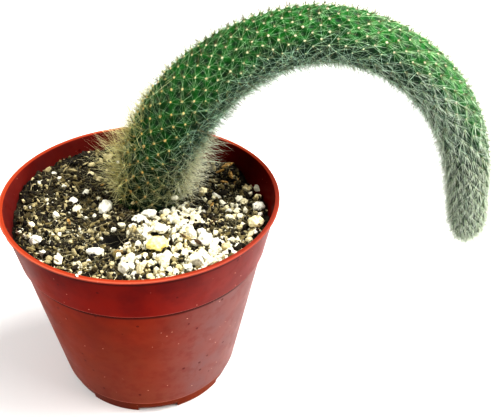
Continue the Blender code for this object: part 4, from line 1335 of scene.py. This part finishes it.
def makeAreoles(areoles):
    # Woolly pads: low uneven balls on the tubercles, smaller where the stem narrows
    draw = np.random.default_rng(pads["seed"])
    share = areoles["share"]
    count = len(share)
    hidden = np.maximum(smoothStep(areoles["inner"], *pads["hiddenInside"]),
                        smoothStep(share, *pads["hiddenFrom"]))
    size = np.minimum(pads["radius"], pads["radiusShare"] * areoles["radius"])
    size = size * draw.uniform(*pads["spread"], count)
    size = size * (1 + pads["larger"] - pads["larger"] * smoothStep(share, *pads["largerTo"]))
    size = size * (1 - pads["smaller"] * hidden)
    ball, triangles = unitBall(1)
    corners = len(ball)
    swell = 1 + pads["rough"] * draw.uniform(-1, 1, (count, corners, 1))
    local = ball * swell * size[:, None, None] * pads["shape"]
    axes = np.stack((areoles["forward"], areoles["around"], areoles["outward"]), axis=1)
    points = np.einsum("nki,nij->nkj", local, axes) + areoles["peak"][:, None]
    return fillMesh("areolePads", points.reshape(-1, 3), repeatFaces(triangles, count, corners),
                    share=np.repeat(share, corners), hidden=np.repeat(hidden, corners),
                    tone=np.repeat(draw.random(count), corners))


def makeAreoleMaterial():
    # Cream wool, orange brown and olive on the old areoles at the foot, brownish on some,
    # fluffy, and greyed where hairs hide it
    material, tree, shader = startMaterial("areoleWool")
    colour = colourRamp(tree, readMark(tree, "share"), (0.06, (0.62, 0.34, 0.045)),
                        (0.22, (0.82, 0.58, 0.15)), (0.32, (0.84, 0.76, 0.48)),
                        (0.60, (0.80, 0.73, 0.54)), (1.0, (0.60, 0.62, 0.40)))
    fluff = placeGroup(tree, mottle, scale=2400.0, low=0.3, high=0.7)["Mask"]
    coats = {"tone": (0.22, (0.62, 0.36, 0.22)), "fluff": (0.25, (0.95, 0.92, 0.78)),
             "hidden": (0.7, (0.30, 0.40, 0.28))}
    finishSurface(shader, layCoats(tree, colour, coats, fluff=fluff), 0.95)
    return material


# Each set of spines has a row under these headings: how many an areole has, how many cuts
# each has, the seed, their length and how much it favours short ones, their lean from the
# areole's outward direction, the spread of their headings round the tipward one, half width,
# how far their roots stray from the areole, bend towards the tip and downwards, and waviness
spineHeads = ("count", "segments", "seed", "length", "skew", "lean", "fan", "width", "stray",
              "tipward", "sag", "wave")
spineSets = {
    "upperSpines": (10, 2, 91, (0.0034, 0.0078), 1.0, (74, 89), 66, 0.000036, 0.00020, 0.02, 0.0, 0.04),
    "sprays": (11, 2, 90, (0.0050, 0.0100), 1.0, (74, 88), 24, 0.000046, 0.00018, 0.02, 0.0, 0.03),
    "centralSpines": (7, 1, 92, (0.0022, 0.0062), 1.2, (4, 58), 150, 0.000110, 0.00040, 0.15, 0.0, 0.08),
    "undersideHair": (8, 2, 93, (0.0038, 0.0092), 1.0, (70, 89), 100, 0.000056, 0.0003, 0.08, 0.02, 0.08),
    "fringeHair": (8, 2, 98, (0.0036, 0.0112), 1.3, (2, 50), 80, 0.000062, 0.0009, 0.30, 0.0, 0.25),
    "tipFur": (12, 2, 94, (0.0044, 0.0094), 1.0, (67, 87), 25, 0.000066, 0.00036, 0.02, 0.0, 0.05),
    "tipFuzz": (5, 2, 99, (0.0050, 0.0142), 1.1, (24, 62), 40, 0.000046, 0.0007, 0.30, 0.0, 0.18),
    "footSpines": (18, 2, 95, (0.0024, 0.0068), 1.1, (58, 89), 180, 0.000044, 0.0004, 0.0, 0.0, 0.10),
    "leftTuft": (26, 3, 96, (0.0040, 0.0165), 1.6, (8, 74), 100, 0.000056, 0.0012, 0.20, 0.04, 0.24),
    "rightTuft": (22, 3, 97, (0.0040, 0.0125), 1.6, (6, 62), 100, 0.000062, 0.0011, 0.08, 0.05, 0.20),
}
# The finish of each set: its name, its colours at root and tip, the same for warm spines, and
# the spread of their darkness
spineFinishes = {
    "upperSpines": ("paleSpine", (0.28, 0.56, 0.24), (0.62, 0.88, 0.58),
                    (0.66, 0.66, 0.36), (0.82, 0.88, 0.64), 0.30),
    "sprays": ("sprayHair", (0.40, 0.66, 0.32), (0.70, 0.92, 0.64),
               (0.78, 0.72, 0.34), (0.88, 0.90, 0.64), 0.45),
    "centralSpines": ("brownSpine", (0.13, 0.20, 0.09), (0.08, 0.05, 0.03),
                      (0.26, 0.17, 0.07), (0.08, 0.03, 0.015), 0.20),
    "undersideHair": ("greyHair", (0.40, 0.66, 0.46), (0.76, 0.98, 0.82),
                      (0.70, 0.74, 0.46), (0.92, 0.96, 0.78), 0.55),
    "fringeHair": ("fringeHair", (0.20, 0.30, 0.21), (0.46, 0.56, 0.48),
                   (0.36, 0.32, 0.15), (0.54, 0.52, 0.34), 0.35),
    "tipFur": ("furHair", (0.82, 0.98, 0.78), (0.98, 1.00, 0.95),
               (0.94, 0.96, 0.66), (1.00, 1.00, 0.86), 0.40),
    "tipFuzz": ("tipFuzz", (0.28, 0.40, 0.28), (0.54, 0.65, 0.54),
                (0.52, 0.48, 0.26), (0.70, 0.68, 0.48), 0.25),
    "footSpines": ("beigeHair", (0.50, 0.62, 0.38), (0.90, 0.98, 0.82),
                   (0.70, 0.60, 0.16), (0.98, 0.94, 0.54), 0.45),
    "leftTuft": ("tuftHair", (0.66, 0.68, 0.42), (0.93, 0.95, 0.84),
                 (0.78, 0.70, 0.22), (0.97, 0.95, 0.60), 0.28),
    "rightTuft": ("creamHair", (0.66, 0.70, 0.50), (0.95, 0.97, 0.88),
                  (0.80, 0.77, 0.44), (0.97, 0.97, 0.76), 0.28),
}
# Where the stem's zones fade: heights over the floor near the foot, then shares of the length
spineZones = {
    "foot": (0.086, 0.110), "tall": (0.090, 0.154), "lowRight": (0.094, 0.112),
    "middle": (0.42, 0.62), "tip": (0.66, 0.86), "fuzz": (0.54, 0.76), "fur": (0.52, 0.74),
}


def spineChance(name, areoles):
    # Which share of a set's spines an areole has, and how warm their colour is
    share = areoles["share"]
    leftward = -areoles["outward"][:, 0]
    tip, far, fuzz, fur = (smoothStep(share, *spineZones[zone]) for zone in ("tip", "middle", "fuzz", "fur"))
    foot, tall, lowRight = ((1 - smoothStep(areoles["peak"][:, 2], *spineZones[zone])) * (share < 0.5)
                            for zone in ("foot", "tall", "lowRight"))
    under = undersideShare(areoles, -0.45, 0.25)
    edge = 0.36 + 0.22 * (1 - tall)
    upper = (1 - 0.6 * foot) * (1 - 0.75 * under) * (1 - 0.6 * far) * (1 - tip)
    return {
        "upperSpines": (upper, 0.12 + 0.4 * foot),
        "sprays": (far * (1 - 0.8 * under) * (1 - tip), 0.10 * far),
        "centralSpines": ((1 - 0.6 * under) * (1 - 0.5 * tip), 0.45 + 0 * share),
        "undersideHair": (under * (1 - 0.85 * foot) * (1 - tip), 0 * share),
        "fringeHair": (smoothStep(areoles["inner"], 0.10, 0.60) * (1 - foot), 0.10 + 0 * share),
        "tipFur": (np.maximum(tip, 0.8 * under * fur), 0.15 * tip),
        "tipFuzz": (fuzz, 0.30 * tip),
        "footSpines": (foot, 0.62 * foot),
        "leftTuft": (smoothStep(leftward, edge, edge + 0.45) * tall, 0.35 + 0.65 * tall),
        "rightTuft": (smoothStep(-leftward, 0.45, 0.85) * lowRight, 0.65 + 0 * share),
    }[name]


# What all spines share: up to which turn their headings stray, the stem's radius that gives
# them their full length and the limits of that share, how deep their roots sit, how much
# their widths and warmth differ, and the gaps that they keep
spineHabit = {
    "strayTurn": 2.8, "fullRadius": 0.012, "slim": (0.65, 1.15), "sunk": 0.0001, "sunkShare": 0.35,
    "widths": (0.8, 1.25), "warmSpread": 0.12, "boxGap": 0.0001, "soilGap": 0.0003,
    "wallGap": 0.0005, "overPot": 0.001, "besidePot": 0.003, "shorter": 0.72,
}


def combSpines(name, plan, areoles):
    # The spines of one set: each leans from its areole's outward direction by the lean, on
    # a heading spread round the tipward one, or any heading where the fan is wide, and bends
    # a little on its way
    draw = np.random.default_rng(plan["seed"])
    chance, warm = spineChance(name, areoles)
    owner = np.repeat(np.arange(len(chance)), plan["count"])
    owner = owner[draw.random(len(owner)) < chance[owner]]
    count = len(owner)
    outward, forward, around = (areoles[key][owner] for key in ("outward", "forward", "around"))
    lean = np.radians(draw.uniform(*plan["lean"], count))[:, None]
    if plan["fan"] >= 150:
        heading = draw.uniform(-math.pi, math.pi, count)[:, None]
    else:
        limit = spineHabit["strayTurn"]
        heading = np.clip(draw.normal(0, math.radians(plan["fan"]), count), -limit, limit)[:, None]
    flat = np.cos(heading) * forward + np.sin(heading) * around
    way = np.cos(lean) * outward + np.sin(lean) * flat
    wave = draw.normal(size=(count, 3))
    wave = unit(wave - (wave * way).sum(axis=1)[:, None] * way) * draw.uniform(0, plan["wave"], (count, 1))
    bend = wave + plan["tipward"] * forward - plan["sag"] * np.array((0.0, 0.0, 1.0))
    low, high = plan["length"]
    slim = np.clip(areoles["radius"][owner] / spineHabit["fullRadius"], *spineHabit["slim"])
    length = (low + (high - low) * draw.random(count) ** plan["skew"]) * slim
    stray = plan["stray"] * np.clip(draw.normal(size=(count, 2)), -2, 2)
    start = areoles["peak"][owner] + stray[:, :1] * around + stray[:, 1:] * forward
    sunk = spineHabit["sunk"] + spineHabit["sunkShare"] * np.linalg.norm(stray, axis=1)[:, None]
    hairs = {"root": start - sunk * outward, "way": way, "bend": bend, "length": length,
             "width": plan["width"] * draw.uniform(*spineHabit["widths"], count),
             "kind": draw.random(count),
             "warm": np.clip(warm[owner] + draw.normal(0, spineHabit["warmSpread"], count), 0, 1)}
    return keepInside(hairs)


def keepInside(hairs):
    # Hairs that would leave the part's box, dip into the soil or pass the pot's wall are
    # shortened, and those that still do are left out
    low = np.array(cadLow) + spineHabit["boxGap"]
    high = np.array(cadHigh) - spineHabit["boxGap"]
    for _ in range(3):
        end = hairs["root"] + hairs["length"][:, None] * (hairs["way"] + hairs["bend"])
        x, y, z = end.T
        reach = np.hypot(x, y)
        inPot = (z < pot["height"] + spineHabit["overPot"])
        inPot &= reach < pot["rimRadius"] + spineHabit["besidePot"]
        out = np.any((end < low) | (end > high), axis=1)
        out |= (z < soilHeight(x, y) + spineHabit["soilGap"]) & inPot
        out |= (reach > innerRadius(z) - spineHabit["wallGap"]) & inPot
        hairs["length"] = np.where(out, spineHabit["shorter"] * hairs["length"], hairs["length"])
    return {key: values[~out] for key, values in hairs.items()}


def makeSpines():
    # The areoles' pads, then each set of spines with its own finish
    areoles = areolePlaces()
    addPiece("areolePads", makeAreoles(areoles), makeAreoleMaterial(), "stem")
    for name, row in spineSets.items():
        plan = dict(zip(spineHeads, row))
        finish, *paint = spineFinishes[name]
        hairs = combSpines(name, plan, areoles)
        mesh = growHairs(name, hairs, plan["segments"])
        addPiece(name, mesh, makeStrandMaterial(finish, paint, 0.65, 0.25), "stem")
        print(name, len(hairs["length"]), "spines,", len(mesh.polygons), "faces")


addPiece("stemSkin", makeStemMesh(), makeSkinMaterial(), "stem", "stem")
makeSpines()
print("stem done")


# Floor, light and camera

studio = {
    "floor": 3.0, "floorColour": (0.88, 0.88, 0.88), "world": 0.27,
    "key": {"place": (0.50, 0.12, 0.90), "size": 0.75, "power": 15.5},
    "side": {"place": (0.66, -0.18, 0.20), "size": 0.50, "power": 4.8},
    "fill": {"place": (-0.60, -0.30, 0.60), "size": 0.80, "power": 5.0},
    "target": (0.03, 0.0, 0.07), "lightColour": (1.0, 0.985, 0.96),
}
camera = {
    "place": (0.0433, -0.2518, 0.2570), "down": math.radians(34.97), "roll": -0.02775,
    "lens": 55.127, "sensor": 36.0, "nearest": 0.01,
}


def makeFloor():
    # A flat square grid under the pot
    half = studio["floor"] / 2
    x, y = np.meshgrid(np.linspace(-half, half, 9), np.linspace(-half, half, 9))
    mesh = fillMesh("floor", triples(x, y).reshape(-1, 3), gridFaces(9, 9, closed=False))
    material, _, shader = startMaterial("paleFloor")
    feed(shader, {"Base Color": studio["floorColour"], "Roughness": 0.9})
    mesh.materials.append(material)
    floor = addObject("floor", mesh)


def makeLight(name, plan):
    # A round soft lamp that faces the target
    data = bpy.data.lights.new(name, "AREA")
    data.shape = "DISK"
    data.size = plan["size"]
    data.energy = plan["power"]
    data.color = studio["lightColour"]
    light = addObject(name, data)
    light.location = plan["place"]
    aim = Vector(studio["target"]) - Vector(plan["place"])
    light.rotation_euler = aim.to_track_quat("-Z", "Y").to_euler()


def makeWorld():
    # A white surrounding light
    world = bpy.data.worlds.new("studio")
    world.use_nodes = True
    feed(world.node_tree.nodes["Background"], {"Color": (1.0, 1.0, 1.0), "Strength": studio["world"]})
    bpy.context.scene.world = world


def makeCamera():
    # The camera looks along +Y and down, and is turned a little about its own axis
    data = bpy.data.cameras.new("camera")
    data.sensor_width = camera["sensor"]
    data.lens = camera["lens"]
    data.clip_start = camera["nearest"]
    down, roll = camera["down"], camera["roll"]
    right = Vector((1.0, 0.0, 0.0))
    up = Vector((0.0, math.sin(down), math.cos(down)))
    back = Vector((0.0, -math.cos(down), math.sin(down)))
    acrossAxis = math.cos(roll) * right - math.sin(roll) * up
    upAxis = math.sin(roll) * right + math.cos(roll) * up
    turn = Matrix((acrossAxis, upAxis, back)).transposed().to_4x4()
    item = addObject("camera", data)
    item.matrix_world = Matrix.Translation(camera["place"]) @ turn
    bpy.context.scene.camera = item


makeFloor()
for name in ("key", "side", "fill"):
    makeLight(name + "Light", studio[name])
makeWorld()
makeCamera()
bpy.context.scene.view_settings.view_transform = "Standard"
bpy.context.scene.view_settings.look = "High Contrast"
print("studio done")
